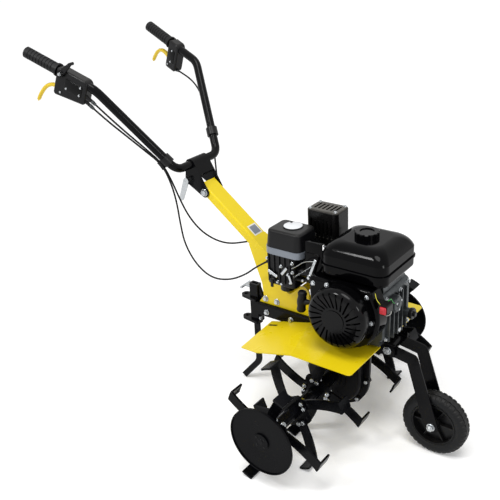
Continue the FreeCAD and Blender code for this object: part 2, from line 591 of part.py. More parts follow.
class Piece:
    """A PartDesign body and the features that are added to it one after another."""

    def __init__(self, name):
        self.body = doc.addObject("PartDesign::Body", name)
        self.name = name
        self.count = 0

    def origin(self, role):
        """Origin plane or axis of this body."""
        return [f for f in self.body.Origin.OriginFeatures if f.Role == role][0]

    def sketch(self, role, loops, lift=0.0):
        """Sketch of closed outlines on an origin plane, lifted off it along its normal.

        A corner (u, v) is sharp. A corner (u, v, r) is an arc about that centre, and a
        negative r is a hollow one. An outline of one corner (u, v, r) is a full circle.
        """
        self.count += 1
        sk = self.body.newObject("Sketcher::SketchObject", "%s_sketch_%d" % (self.name, self.count))
        sk.AttachmentSupport = [(self.origin(role), "")]
        sk.MapMode = "FlatFace"
        sk.AttachmentOffset = FreeCAD.Placement(V(0, 0, float(lift)), FreeCAD.Rotation())
        if isinstance(lift, Size):
            sk.setExpression("AttachmentOffset.Base.z", lift.text)
        for corners in loops:
            draw_outline(sk, corners)
        return sk

    def feature(self, kind, sk, **settings):
        """Feature of a sketch with its settings."""
        self.count += 1
        thing = self.body.newObject("PartDesign::" + kind,
                                    "%s_%s_%d" % (self.name, kind.lower(), self.count))
        thing.Profile = sk
        for name, value in settings.items():
            if isinstance(value, Size):
                bind(thing, name, value)
            else:
                setattr(thing, name, value)
        sk.Visibility = False
        return thing

    def pad(self, role, loops, length, lift=0.0, middle=False, **settings):
        """Pad outlines along the plane's normal."""
        sk = self.sketch(role, loops, lift)
        return self.feature("Pad", sk, Length=length, Midplane=middle, **settings)

    def pocket(self, role, loops, length, lift=0.0, middle=False, **settings):
        """Cut outlines, against the plane's normal unless Reversed."""
        sk = self.sketch(role, loops, lift)
        return self.feature("Pocket", sk, Length=length, Midplane=middle, **settings)

    def plate(self, loops, y0, y1):
        """Pad outlines of X and Z from y0 to y1."""
        return self.pad("XZ_Plane", loops, y1 - y0, lift=-y1)

    def cut_plate(self, loops, y0, y1):
        """Cut outlines of X and Z from y0 to y1."""
        return self.pocket("XZ_Plane", loops, y1 - y0, lift=-y0)

    def slab(self, loops, z0, z1, **settings):
        """Pad outlines of X and Y from z0 to z1."""
        return self.pad("XY_Plane", loops, z1 - z0, lift=z0, **settings)

    def cut_slab(self, loops, z0, z1):
        """Cut outlines of X and Y from z0 to z1."""
        return self.pocket("XY_Plane", loops, z1 - z0, lift=z1)

    def beam(self, loops, x0, x1):
        """Pad outlines of Y and Z from x0 to x1."""
        return self.pad("YZ_Plane", loops, x1 - x0, lift=x0)

    def cut_beam(self, loops, x0, x1):
        """Cut outlines of Y and Z from x0 to x1."""
        return self.pocket("YZ_Plane", loops, x1 - x0, lift=x1)

    def turned(self, role, loops, axis, kind="Revolution"):
        """Revolve outlines a full turn about an origin axis."""
        sk = self.sketch(role, loops)
        return self.feature(kind, sk, ReferenceAxis=(self.origin(axis), [""]), Angle=360.0)

    def loft(self, sections):
        """Loft through outlines of X and Y, each given with its height."""
        sketches = [self.sketch("XY_Plane", [outline], lift=height) for outline, height in sections]
        thing = self.feature("AdditiveLoft", sketches[0], Sections=sketches[1:])
        for sk in sketches[1:]:
            sk.Visibility = False
        return thing

    def round_about(self, features, axis, copies):
        """Repeat features evenly about an origin axis."""
        self.count += 1
        thing = self.body.newObject("PartDesign::PolarPattern", "%s_round_%d" % (self.name, self.count))
        thing.Originals = features
        thing.Axis = (self.origin(axis), [""])
        thing.Angle = 360.0
        thing.Occurrences = int(copies)
        self.body.Tip = thing
        return thing

    def in_line(self, features, axis, reach, copies, backwards=False):
        """Repeat features evenly over a reach along an origin axis."""
        self.count += 1
        thing = self.body.newObject("PartDesign::LinearPattern", "%s_row_%d" % (self.name, self.count))
        thing.Originals = features
        thing.Direction = (self.origin(axis), [""])
        thing.Reversed = backwards
        thing.Occurrences = int(copies)
        bind(thing, "Length", reach)
        self.body.Tip = thing
        return thing

    def fillet(self, direction, radius, test=None, kind="Fillet"):
        """Round or chamfer the straight edges along a direction."""
        doc.recompute()
        base = self.body.Tip
        names = edges_along(base.Shape, direction, test)
        self.count += 1
        thing = self.body.newObject("PartDesign::" + kind,
                                    "%s_%s_%d" % (self.name, kind.lower(), self.count))
        thing.Base = (base, names)
        bind(thing, "Radius" if kind == "Fillet" else "Size", radius)
        return thing

    def fillet_faces(self, test, radius):
        """Round every edge of the faces that pass a test of their middle and normal."""
        doc.recompute()
        base = self.body.Tip
        wanted = []
        for k, face in enumerate(base.Shape.Faces, start=1):
            u0, u1, v0, v1 = face.ParameterRange
            normal = face.normalAt((u0 + u1) / 2, (v0 + v1) / 2)
            if face.Surface.TypeId == "Part::GeomPlane" and test(face.CenterOfMass, normal):
                wanted.append("Face%d" % k)
        self.count += 1
        thing = self.body.newObject("PartDesign::Fillet", "%s_fillet_%d" % (self.name, self.count))
        thing.Base = (base, wanted)
        bind(thing, "Radius", radius)
        return thing

    def done(self, place, turn=None, label=None):
        """Seat the body and register it under its own name."""
        seat(self.body, place, turn)
        return node(self.body, label or self.name)


def corner_radius(corner):
    """Signed radius of a corner, 0 for a sharp one."""
    return corner[2] if len(corner) > 2 else 0.0


def tangent_ends(corners):
    """Start and end of the straight run between each corner and the next."""
    ends = []
    for i, corner in enumerate(corners):
        after = corners[(i + 1) % len(corners)]
        r0 = float(corner_radius(corner))
        r1 = float(corner_radius(after))
        u0, v0, u1, v1 = (float(q) for q in (corner[0], corner[1], after[0], after[1]))
        length = math.hypot(u1 - u0, v1 - v0)
        side = math.atan2(v1 - v0, u1 - u0) - math.acos((r0 - r1) / length)
        out = V(math.cos(side), math.sin(side), 0)
        ends.append((V(u0, v0, 0) + out * r0, V(u1, v1, 0) + out * r1))
    return ends


def draw_outline(sk, corners):
    """Draw a closed outline, anticlockwise, and tie every corner to the sheet."""
    if len(corners) == 1:
        u, v, radius = corners[0]
        ring = sk.addGeometry(Part.Circle(V(float(u), float(v), 0), V(0, 0, 1), float(radius)), False)
        tie(sk, ring, 3, u, v)
        tie_radius(sk, ring, radius)
        return
    ends = tangent_ends(corners)
    runs = [sk.addGeometry(Part.LineSegment(a, b), False) for a, b in ends]
    for i, corner in enumerate(corners):
        before = runs[i - 1]
        after = runs[i]
        radius = corner_radius(corner)
        if float(radius) == 0:
            sk.addConstraint(Sketcher.Constraint("Coincident", before, 2, after, 1))
            tie(sk, after, 1, corner[0], corner[1])
            continue
        centre = V(float(corner[0]), float(corner[1]), 0)
        first = ends[i - 1][1] - centre
        last = ends[i][0] - centre
        if float(radius) < 0:
            first, last = last, first
        angles = [math.atan2(q.y, q.x) for q in (first, last)]
        if angles[1] <= angles[0]:
            angles[1] += 2 * math.pi
        ring = Part.Circle(centre, V(0, 0, 1), abs(float(radius)))
        arc = sk.addGeometry(Part.ArcOfCircle(ring, angles[0], angles[1]), False)
        ins, outs = (1, 2) if float(radius) > 0 else (2, 1)
        sk.addConstraint(Sketcher.Constraint("Tangent", before, 2, arc, ins))
        sk.addConstraint(Sketcher.Constraint("Tangent", arc, outs, after, 1))
        tie(sk, arc, 3, corner[0], corner[1])
        tie_radius(sk, arc, radius if float(radius) > 0 else -radius)


def tie(sk, geometry, point, u, v):
    """Hold a point of a sketch at two sizes."""
    for kind, value in (("DistanceX", u), ("DistanceY", v)):
        k = sk.addConstraint(Sketcher.Constraint(kind, -1, 1, geometry, point, float(value)))
        if isinstance(value, Size):
            sk.setExpression("Constraints[%d]" % k, value.text)


def tie_radius(sk, geometry, radius):
    """Hold a circle's or an arc's radius at a size."""
    k = sk.addConstraint(Sketcher.Constraint("Radius", geometry, float(radius)))
    if isinstance(radius, Size):
        sk.setExpression("Constraints[%d]" % k, radius.text)


def rectangle(u0, u1, v0, v1):
    """Outline of a rectangle."""
    return [(u0, v0), (u1, v0), (u1, v1), (u0, v1)]


def rounded(u0, u1, v0, v1, radius):
    """Outline of a rectangle with round corners."""
    return [(u0 + radius, v0 + radius, radius), (u1 - radius, v0 + radius, radius),
            (u1 - radius, v1 - radius, radius), (u0 + radius, v1 - radius, radius)]


def fused(name, things):
    """Union of several objects."""
    thing = doc.addObject("Part::MultiFuse", name)
    thing.Shapes = things
    thing.Refine = True
    return thing


def shared(name, base, tool):
    """What two objects have in common."""
    thing = doc.addObject("Part::Common", name)
    thing.Base = base
    thing.Tool = tool
    thing.Refine = True
    return thing


def less(name, base, tool):
    """One object cut by another."""
    thing = doc.addObject("Part::Cut", name)
    thing.Base = base
    thing.Tool = tool
    thing.Refine = True
    return thing


def root_of(value):
    """Square root of a Size."""
    return Size(math.sqrt(float(value)), "sqrt(%s)" % value.text)


def spot(x, y, z):
    """Point of three sizes."""
    return V(float(x), float(y), float(z))


# ---------------------------------------------------------------- reference places
GRIP_RUN = (S.bar_end_x - S.upper_bend_x, S.bar_end_y - S.upper_bend_y, S.bar_end_z - S.upper_bend_z)
GRIP_LENGTH = root_of(GRIP_RUN[0] * GRIP_RUN[0] + GRIP_RUN[1] * GRIP_RUN[1] + GRIP_RUN[2] * GRIP_RUN[2])
GRIP_SLOPE = GRIP_RUN[0] / GRIP_LENGTH
FRONT_X = S.wheel_x + S.wheel_radius
REAR_X = S.bar_end_x + S.grip_cap * GRIP_SLOPE - S.grip_radius * root_of(1 - GRIP_SLOPE * GRIP_SLOPE)
ORIGIN_X = (FRONT_X + REAR_X) / 2
AXLE_X = Size(0, "0")
TINE_LEAN = (45 - S.tine_foot_angle) / 2
AXLE_Z = S.tine_radius * cosine(TINE_LEAN)
FLANGE_COUNT = 3
TINE_COUNT = 4
HUB_OUTER_Y = S.first_flange_y + (FLANGE_COUNT - 1) * S.flange_pitch + S.hub_past_flange
RAIL_BOTTOM = S.rail_top_z - S.rail_depth
CRANK_Z = S.rail_top_z + S.crank_height
FORK_Z = S.rail_top_z - S.fork_pivot_drop
ALONG_Y = V(0, 1, 0)
ALONG_Z = V(0, 0, 1)
HALF_TURN = FreeCAD.Rotation(ALONG_Z, 180)
SIDES = (("right", -1), ("left", 1))


# How many of each like feature there are
CASE_EAR_COUNT = 8
GRIP_GROOVE_COUNT = 9
RIM_RIB_COUNT = 6
COULTER_HOLE_COUNT = 5
CASE_RIB_COUNT = 5
FIN_COUNT = 6
VENT_COUNT = 24
COVER_EAR_COUNT = 3
CAP_GROOVE_COUNT = 14
INTAKE_RIB_COUNT = 5
GUARD_SLOT_COUNT = 6


def mirrored(corners):
    """Outline mirrored about its first axis, still anticlockwise."""
    return [(corner[0], -corner[1]) + tuple(corner[2:]) for corner in reversed(corners)]


def shaft(name, radius, half_length, place):
    """Round bar along Y with chamfered ends."""
    bar = Piece(name)
    c = S.end_chamfer
    bar.turned("YZ_Plane", [[(-half_length, 0), (half_length, 0), (half_length, radius - c),
                             (half_length - c, radius),
                             (c - half_length, radius), (-half_length, radius - c)]], "Y_Axis")
    return bar.done(place)


def bent_path(points, radii):
    """Wire of straight runs and tangent arcs along a route."""
    edges = []
    start = points[0]
    for i in range(1, len(points) - 1):
        before = (points[i - 1] - points[i]).normalize()
        after = (points[i + 1] - points[i]).normalize()
        turn = math.pi - before.getAngle(after)
        cut = radii[i - 1] * math.tan(turn / 2)
        arc_start = points[i] + before * cut
        arc_end = points[i] + after * cut
        middle = (before + after).normalize()
        reach = radii[i - 1] / math.cos(turn / 2) - radii[i - 1]
        edges.append(Part.LineSegment(start, arc_start).toShape())
        edges.append(Part.Arc(arc_start, points[i] + middle * reach, arc_end).toShape())
        start = arc_end
    edges.append(Part.LineSegment(start, points[-1]).toShape())
    return Part.Wire(edges)


def tube_along(path, radius):
    """Round bar swept along a path of lines and tangent arcs."""
    first = path.Edges[0]
    heading = first.tangentAt(first.FirstParameter)
    ring = Part.Wire(Part.Circle(path.Vertexes[0].Point, heading, float(radius)).toShape())
    return path.makePipeShell([ring], True, False)


# ---------------------------------------------------------------- control cables
ROUTES = {
    "clutch": [V(-672, -226, 950), V(-632, -208, 906), V(-598, -178, 856), V(-565, -147, 808),
               V(-533, -117, 759), V(-514, -104, 704), V(-504, -88, 642), V(-492, -64, 572),
               V(-462, -34, 512), V(-412, 4, 476), V(-352, 40, 484), V(-290, 66, 502),
               V(-228, 88, 496), V(-172, 104, 460), V(-128, 114, 416)],
    "throttle": [V(-680, -228, 938), V(-642, -216, 903), V(-600, -188, 856), V(-561, -156, 806),
                 V(-529, -123, 759), V(-510, -112, 700), V(-506, -100, 634), V(-510, -90, 562),
                 V(-503, -86, 490), V(-466, -80, 424), V(-410, -75, 390), V(-342, -71, 400),
                 V(-280, -70, 434), V(-236, -71, 472), V(-194, -73, 500)],
    "reverse": [V(-765, 236, 950), V(-716, 232, 934), V(-664, 216, 908), V(-620, 190, 872),
                V(-580, 158, 828), V(-547, 132, 784), V(-520, 108, 735), V(-497, 84, 682),
                V(-474, 60, 628), V(-434, 48, 574), V(-384, 56, 524), V(-322, 74, 500),
                V(-262, 94, 484), V(-208, 108, 450), V(-162, 118, 412), V(-112, 124, 378)],
}
CABLE_PATHS = {}


def lay_cable(name, points):
    """Cable of straight runs and tangent arcs, checked by its volume."""
    radii = []
    for i in range(1, len(points) - 1):
        before = points[i - 1] - points[i]
        after = points[i + 1] - points[i]
        turn = math.pi - before.getAngle(after)
        radii.append(0.45 * min(before.Length, after.Length) / math.tan(turn / 2))
    path = bent_path(points, radii)
    cable = tube_along(path, S.cable_radius)
    runs = [(points[i + 1] - points[i]).Length for i in range(len(points) - 1)]
    section = math.pi * float(S.cable_radius) ** 2
    print(name, "runs", [round(r) for r in runs], "radii", [round(r) for r in radii])
    print(name, "length", round(path.Length), "volume ratio",
          round(cable.Volume / (section * path.Length), 4))
    CABLE_PATHS[name] = path
    node(shaped(name + "_cable_body", cable), name + "_cable")


for name, points in ROUTES.items():
    lay_cable(name, points)


def ferrule(name, at_start, tip, length, radius):
    """Sleeve in line with a cable's end run, from its tip on into what holds it."""
    points = ROUTES[name]
    inward = (points[0] - points[1]) if at_start else (points[-1] - points[-2])
    sleeve = Part.makeCylinder(float(radius), float(length), tip, inward.normalize())
    return shaped(name + ("_upper_ferrule" if at_start else "_lower_ferrule"), sleeve)


# ---------------------------------------------------------------- tine rotor
def tine(angle, y, side):
    """Sickle tine: a bar that leans back from the flange and a foot turned sideways."""
    radius = float(S.tine_radius)
    thick = float(S.tine_thickness)
    width = float(S.tine_bar_width)
    foot_root = float(S.tine_root)
    span = math.radians(float(S.tine_foot_angle))
    inner = radius - thick
    y0 = y if side > 0 else y - thick
    lead = V(radius * math.sin(span), 0, radius * math.cos(span))
    heel = V(0, 0, radius)
    back = V(inner * math.sin(span), 0, inner * math.cos(span))
    front = V(0, 0, inner)
    middle = V(radius * math.sin(span / 2), 0, radius * math.cos(span / 2))
    base_front = V(-width * 0.9, 0, foot_root)
    base_back = V(width * 0.15, 0, foot_root)
    belly = V(-width * 0.62, 0, radius * 0.66)
    spine = V(width * 0.48, 0, radius * 0.62)
    edges = [Part.Arc(heel, middle, lead).toShape(), Part.Arc(lead, spine, base_back).toShape(),
             Part.LineSegment(base_back, base_front).toShape(), Part.Arc(base_front, belly, heel).toShape()]
    bar = Part.Face(Part.Wire(edges)).extrude(V(0, thick, 0))
    bar.translate(V(0, y0, 0))
    inner_middle = V(inner * math.sin(span / 2), 0, inner * math.cos(span / 2))
    foot_edges = [Part.Arc(heel, middle, lead).toShape(), Part.LineSegment(lead, back).toShape(),
                  Part.Arc(back, inner_middle, front).toShape(), Part.LineSegment(front, heel).toShape()]
    foot = Part.Face(Part.Wire(foot_edges)).extrude(V(0, float(S.tine_foot_reach) * side, 0))
    foot.translate(V(0, y, 0))
    shape = bar.fuse(foot)
    shape.rotate(V(), ALONG_Y, angle)
    return shape


def flange_plate(y):
    """Square flange with round corners, its middle at y."""
    thick = float(S.flange_thickness)
    side = float(S.flange_side)
    plate = Part.makeBox(side, thick, side, V(-side / 2, y - thick / 2, -side / 2))
    corners = [e for e in plate.Edges if abs(e.tangentAt(e.FirstParameter).y) > 0.9]
    return plate.makeFillet(float(S.flange_corner), corners)


def reel(side):
    """Hub tube, square flanges and tines of one side, as one welded piece."""
    y0, y1 = sorted((side * float(S.hub_inner_y), side * float(HUB_OUTER_Y)))
    shape = Part.makeCylinder(float(S.hub_radius), y1 - y0, V(0, y0, 0), ALONG_Y)
    for i in range(FLANGE_COUNT):
        y = side * float(S.first_flange_y + i * S.flange_pitch)
        flange = flange_plate(y)
        phase = 180 + float(TINE_LEAN) + 45 * (i % 2)
        flange.rotate(V(), ALONG_Y, phase)
        shape = shape.fuse(flange)
        for k in range(TINE_COUNT):
            turn = side if (k + i) % 2 == 0 else -side
            near = y + turn * float(S.flange_thickness) / 2
            shape = shape.fuse(tine(phase + 90 * k, near, turn))
    bore = Part.makeCylinder(float(S.axle_radius), y1 - y0 + 2, V(0, y0 - 1, 0), ALONG_Y)
    return shape.cut(bore).removeSplitter()


def crop_disc(name, side):
    """Dished disc with a clamping boss and a turned rim, outside the last tines."""
    disc = Piece(name)
    t = S.disc_sheet
    d = S.disc_dish
    boss = t + S.disc_boss_height
    rim = S.disc_radius - S.disc_bead
    disc.turned("YZ_Plane", [[(0, 0), (boss, 0), (boss, S.disc_boss_radius), (t, S.disc_boss_radius),
                              (t, S.disc_flat_radius), (d - t, rim), (d - t, S.disc_radius - t),
                              (d, S.disc_radius - t),
                              (d, S.disc_radius), (d - 2 * t, S.disc_radius), (d - 2 * t, rim),
                              (0, S.disc_flat_radius)]], "Y_Axis")
    disc.done((AXLE_X, side * HUB_OUTER_Y, AXLE_Z), HALF_TURN if side < 0 else None)


shaft("tine_axle", S.axle_radius, HUB_OUTER_Y, (AXLE_X, 0, AXLE_Z))
for name, side in SIDES:
    thing = shaped("reel_" + name, reel(side))
    thing.Placement = FreeCAD.Placement(V(0, 0, float(AXLE_Z)),
                                        FreeCAD.Rotation()).multiply(thing.Placement)
    node(thing, "tine_reel_" + name)
    crop_disc("crop_disc_" + name, side)


# ---------------------------------------------------------------- frame channel
def frame_channel():
    """Bent channel, open below, with a window for the chain case and a notch for the fork."""
    rail = Piece("frame_channel")
    half = S.rail_half_width
    wall = S.rail_wall
    bend = S.rail_bend
    length = S.rail_front_x - S.rail_rear_x
    rail.beam([[(half - wall, 0), (half, 0), (half - bend, S.rail_depth - bend, bend),
                (bend - half, S.rail_depth - bend, bend), (-half, 0), (wall - half, 0),
                (bend - half, S.rail_depth - bend, wall - bend),
                (half - bend, S.rail_depth - bend, wall - bend)]],
              0, length)
    rail.cut_slab([rectangle(length - S.rail_notch, length + 1, wall - half, half - wall)], 1,
                  S.rail_depth + 1)
    gap = S.case_window_gap
    reach = S.input_head_radius + gap
    middle = S.input_x - S.rail_rear_x
    rail.cut_slab([rectangle(middle - reach, middle + reach, -S.case_half_thickness - gap,
                             S.case_half_thickness + gap)],
                  1, S.rail_depth + 1)
    rail.cut_plate([[(S.fork_pivot_x - S.rail_rear_x, S.rail_depth - S.fork_pivot_drop,
                      S.fork_bolt_radius)]],
                   -half - 1, half + 1)
    rail.done((S.rail_rear_x, 0, RAIL_BOTTOM))


# ---------------------------------------------------------------- chain case
def chain_case():
    """Cast case in two halves, bolted round a flange, with the input shaft's head above."""
    top = RAIL_BOTTOM - AXLE_Z
    half = S.case_half_thickness
    case = Piece("case_lower")
    r = S.case_corner
    side = S.case_half_top - S.case_shoulder - r
    case.plate([[(0, 0, S.case_body_radius), (side, top - r, r), (-side, top - r, r)]], -half, half)
    case.fillet_faces(lambda c, n: abs(n.y) > 0.99, S.case_edge)
    r = S.case_flange_corner
    side = S.case_half_top - r
    case.plate([[(0, 0, S.case_flange_radius), (side, top - r, r), (-side, top - r, r)]],
               -S.case_flange_half, S.case_flange_half)
    ear = case.plate([[(0, -S.case_bolt_radius, S.case_ear_radius)]], -S.case_ear_half, S.case_ear_half)
    case.round_about([ear], "Y_Axis", CASE_EAR_COUNT)
    case.plate([[(S.case_half_top - S.case_ear_radius, top - S.case_top_ear_drop, S.case_ear_radius)],
                [(S.case_ear_radius - S.case_half_top, top - S.case_top_ear_drop, S.case_ear_radius)]],
               -S.case_ear_half, S.case_ear_half)
    case.plate([[(0, 0, S.case_seal_radius)]], -half - S.case_seal_reach, half + S.case_seal_reach)
    reach = half + S.case_boss_reach
    case.plate([[(0, 0, S.case_boss_radius)]], -reach, reach)
    case.slab([rectangle(-S.case_half_top, S.case_half_top, -S.rail_half_width, S.rail_half_width)],
              top - S.case_top_plate, top)
    case.cut_plate([[(0, 0, S.axle_radius + S.running_gap)]], -reach - 1, reach + 1)
    seat(case.body, (AXLE_X, 0, AXLE_Z))
    head = Piece("case_head")
    rise = S.input_z - RAIL_BOTTOM
    n = S.neck_corner
    head.plate([[(0, rise, S.input_head_radius), (-S.input_neck, 0, n), (S.input_neck, 0, n)]], -half, half)
    head.fillet_faces(lambda c, n: abs(n.y) > 0.99, S.case_edge)
    head.plate([[(0, rise, S.input_boss_radius)]], 0, S.block_left_y + S.cover_depth)
    seat(head.body, (S.input_x, 0, RAIL_BOTTOM))
    node(fused("chain_case_shape", [case.body, head.body]), "chain_case")


# ---------------------------------------------------------------- fenders
def fender(name, side):
    """Sheet bent along a slanting crease, trimmed to its plan."""
    rise = Piece(name + "_bent_sheet")
    t = S.fender_sheet
    fore = S.fender_front_x - S.fender_crease_x + S.fender_corner_x
    aft = S.fender_crease_x - S.fender_rear_x + S.fender_corner_x
    fall = aft * sine(S.fender_slope) / cosine(S.fender_slope)
    rise.plate([[(fore, -t), (fore, 0), (0, 0), (-aft, -fall), (-aft, -fall - t), (0, -t)]],
               -S.fender_outer_y, S.fender_outer_y)
    turn = FreeCAD.Rotation(ALONG_Z, -side * float(S.fender_crease_angle))
    seat(rise.body, (S.fender_crease_x, side * S.fender_outer_y, S.fender_top_z), turn)
    plan = Piece(name + "_plan")
    near = S.rail_half_width
    far = S.fender_outer_y
    r = S.fender_round
    outline = [(S.fender_rear_x, near), (S.fender_front_x - r, near + r, r),
               (S.fender_front_x - r, far - r, r),
               (S.fender_rear_x + S.fender_corner_x, far), (S.fender_rear_x, far - S.fender_corner_y)]
    slot = [(S.fender_slot_x - S.fender_slot_half, S.fender_slot_y, S.fender_slot_radius),
            (S.fender_slot_x + S.fender_slot_half, S.fender_slot_y, S.fender_slot_radius)]
    loops = [outline, slot]
    if side < 0:
        loops = [mirrored(loop) for loop in loops]
    plan.slab(loops, 0, S.fender_top_z + 1)
    seat(plan.body, (AXLE_X, 0, 0))
    node(shared(name + "_shape", rise.body, plan.body), name)


# ---------------------------------------------------------------- column
def column_base():
    """Welded base: two scalloped side plates, a rear wall and the upright neck."""
    base = Piece("column_base")
    w = S.column_width / 2
    foot = S.rail_top_z
    reach_x = sine(S.column_angle) * S.column_depth / 2
    reach_z = cosine(S.column_angle) * S.column_depth / 2
    base.plate([[(S.base_rear_x, foot), (S.base_front_x, foot),
                 (S.base_crown_x, S.base_crown_z, S.base_crown_radius),
                 (S.base_dip_x, S.base_dip_z, -S.base_dip_radius),
                 (S.base_ear_x, S.base_ear_z, S.base_ear_radius),
                 (S.base_throat_x + S.base_curl_radius, S.base_curl_z, -S.base_curl_radius),
                 (S.base_throat_x, S.base_throat_z),
                 (S.column_foot_x + reach_x, S.column_foot_z + reach_z),
                 (S.column_foot_x - reach_x, S.column_foot_z - reach_z),
                 (S.base_neck_x, S.base_neck_z), (S.base_waist_x, S.base_waist_z)]], -w, w)
    t = S.base_sheet
    lean = (S.column_foot_x - reach_x - S.base_neck_x) / (S.column_foot_z - reach_z - S.base_neck_z)
    high_x = S.base_neck_x + t + lean * (S.base_hollow_top_z - S.base_neck_z)
    top = S.base_crown_z + 2 * S.base_crown_radius
    base.cut_plate([[(S.base_rear_x + t, foot - 1), (S.base_front_x + t, foot - 1),
                     (S.base_front_x + t, top),
                     (S.base_throat_x + t, top), (S.base_throat_x + t, S.base_open_z),
                     (S.base_throat_x - t, S.base_open_z), (S.base_throat_x - t, S.base_hollow_top_z),
                     (high_x, S.base_hollow_top_z), (S.base_neck_x + t, S.base_neck_z),
                     (S.base_waist_x + t, S.base_waist_z)]], t - w, w - t)
    base.cut_plate([[(S.base_hole_x, S.base_hole_z, S.base_hole_radius)]], -w - 1, w + 1)
    base.done((AXLE_X, 0, 0))


PIVOT_DX = S.pivot_x - S.column_foot_x
PIVOT_DZ = S.pivot_z - S.column_foot_z
PIVOT_ALONG = PIVOT_DZ * sine(S.column_angle) - PIVOT_DX * cosine(S.column_angle)
PIVOT_OFF = -(PIVOT_DX * sine(S.column_angle)) - PIVOT_DZ * cosine(S.column_angle)


def steering_column():
    """Rectangular tube with round corners that slopes up to the clamp."""
    tube = Piece("steering_column")
    w = S.column_width / 2
    d = S.column_depth / 2
    t = S.column_wall
    length = PIVOT_ALONG + S.column_past_pivot
    tube.beam([rounded(-w, w, -d, d, S.column_corner),
               rounded(t - w, w - t, t - d, d - t, S.column_corner - t)], 0, length)
    tube.cut_plate([[(PIVOT_ALONG, PIVOT_OFF, S.pivot_radius)]], -w - 1, w + 1)
    turn = FreeCAD.Rotation(ALONG_Y, 180 + float(S.column_angle))
    tube.done((S.column_foot_x, 0, S.column_foot_z), turn)


frame_channel()
chain_case()
for name, side in SIDES:
    fender("fender_" + name, side)
column_base()
steering_column()


# ---------------------------------------------------------------- clamp and handlebar
CLAMP_INNER = S.column_width / 2 + S.clamp_gap
CLAMP_OUTER = CLAMP_INNER + S.clamp_plate


def handlebar_clamp():
    """Two side plates joined by a saddle round the crossbar and a web below it."""
    clamp = Piece("handlebar_clamp")
    bar_x = S.crossbar_x - S.pivot_x
    bar_z = S.crossbar_z - S.pivot_z
    cam_x = S.cam_x - S.pivot_x
    cam_z = S.cam_z - S.pivot_z
    wrap = S.tube_radius + S.clamp_saddle
    clamp.plate([[(cam_x, cam_z, S.cam_eye), (0, 0, S.pivot_eye), (bar_x, bar_z, wrap)]], -CLAMP_OUTER,
                CLAMP_OUTER)
    span = root_of(bar_x * bar_x + bar_z * bar_z)
    ex = -bar_x / span
    ez = -bar_z / span

    def inside(along, aside):
        """Point at a distance from the crossbar towards the pivot, and to the web's side."""
        return (bar_x + ex * along - ez * aside, bar_z + ez * along + ex * aside)

    far = span + 3 * S.pivot_eye
    wide = 4 * S.pivot_eye
    inner = wrap - S.clamp_plate
    clamp.cut_plate([[inside(wrap, -wide), inside(far, -wide), inside(far, inner), inside(wrap, inner)]],
                    -CLAMP_INNER, CLAMP_INNER)
    clamp.cut_plate([[inside(S.clamp_web, -wide), inside(far, -wide), inside(far, wide),
                      inside(S.clamp_web, wide)]],
                    -CLAMP_INNER, CLAMP_INNER)
    clamp.cut_plate([[(bar_x, bar_z, S.tube_radius)], [(0, 0, S.pivot_radius + S.running_gap)],
                     [(cam_x, cam_z, S.cam_bolt_radius)]], -CLAMP_OUTER - 1, CLAMP_OUTER + 1)
    clamp.done((S.pivot_x, 0, S.pivot_z))


def cam_lever():
    """Clamp bolt with its cam drum and the folded handle."""
    cam = Piece("cam_lever")
    outer = CLAMP_OUTER + S.cam_drum_length
    cam.plate([[(0, 0, S.cam_bolt_radius)]], -outer, CLAMP_OUTER + S.bolt_past_plate)
    cam.plate([[(0, 0, S.cam_drum_radius)]], -outer, -CLAMP_OUTER)
    cam.plate([[(0, 0, S.cam_drum_radius),
                (S.cam_handle_x - S.cam_x, S.cam_handle_z - S.cam_z, S.cam_handle_radius)]],
              -outer - S.cam_handle_sheet, -outer)
    cam.done((S.cam_x, 0, S.cam_z))


def bar_point(x, y, z, side):
    """Point of the handlebar on one side."""
    return spot(x, side * y, z)


def handlebar_path():
    """Centre line of the handlebar from grip to grip."""
    half = [bar_point(S.bar_end_x, S.bar_end_y, S.bar_end_z, -1),
            bar_point(S.upper_bend_x, S.upper_bend_y, S.upper_bend_z, -1),
            bar_point(S.crossbar_x, S.crossbar_half, S.crossbar_z, -1)]
    points = half + [V(p.x, -p.y, p.z) for p in reversed(half)]
    low = float(S.lower_bend_radius)
    high = float(S.upper_bend_radius)
    return bent_path(points, [high, low, low, high])


BAR_CORE = tube_along(handlebar_path(), S.tube_radius)
core = shaped("handlebar_core", BAR_CORE)
bore = shaped("handlebar_bore", tube_along(handlebar_path(), S.tube_radius - S.tube_wall))
node(less("handlebar_tube", core, bore), "handlebar")


def grip_frame(side):
    """Root of a grip, the direction to its end and the turn that lays X along it and Z up."""
    end = bar_point(S.bar_end_x, S.bar_end_y, S.bar_end_z, side)
    knee = bar_point(S.upper_bend_x, S.upper_bend_y, S.upper_bend_z, side)
    back = (end - knee).normalize()
    up = (ALONG_Z - back * back.z).normalize()
    return end - back * float(S.grip_length), back, FreeCAD.Rotation(back, up.cross(back), up, "XZY")


def seat_at(thing, point, turn):
    """Put an object at a point that was worked out from several sizes."""
    thing.Placement = FreeCAD.Placement(point - V(float(ORIGIN_X), 0, 0), turn)


def grip(name, side):
    """Rubber grip with a collar, ring grooves and a closed end."""
    sleeve = Piece(name)
    length = S.grip_length
    end = length + S.grip_cap
    sleeve.turned("XZ_Plane", [[(0, S.tube_radius), (length, S.tube_radius), (length, 0), (end, 0),
                                (end, S.grip_radius), (S.grip_collar, S.grip_radius),
                                (S.grip_collar, S.grip_collar_radius), (0, S.grip_collar_radius)]],
                  "X_Axis")
    start = S.grip_groove_start
    ring = sleeve.turned("XZ_Plane",
                         [rectangle(start, start + S.grip_groove, S.grip_radius - S.grip_groove_depth,
                                                S.grip_radius + 1)], "X_Axis", kind="Groove")
    sleeve.in_line([ring], "X_Axis", S.grip_groove_row, GRIP_GROOVE_COUNT)
    point, _, turn = grip_frame(side)
    seat_at(sleeve.body, point, turn)
    node(sleeve.body, name)


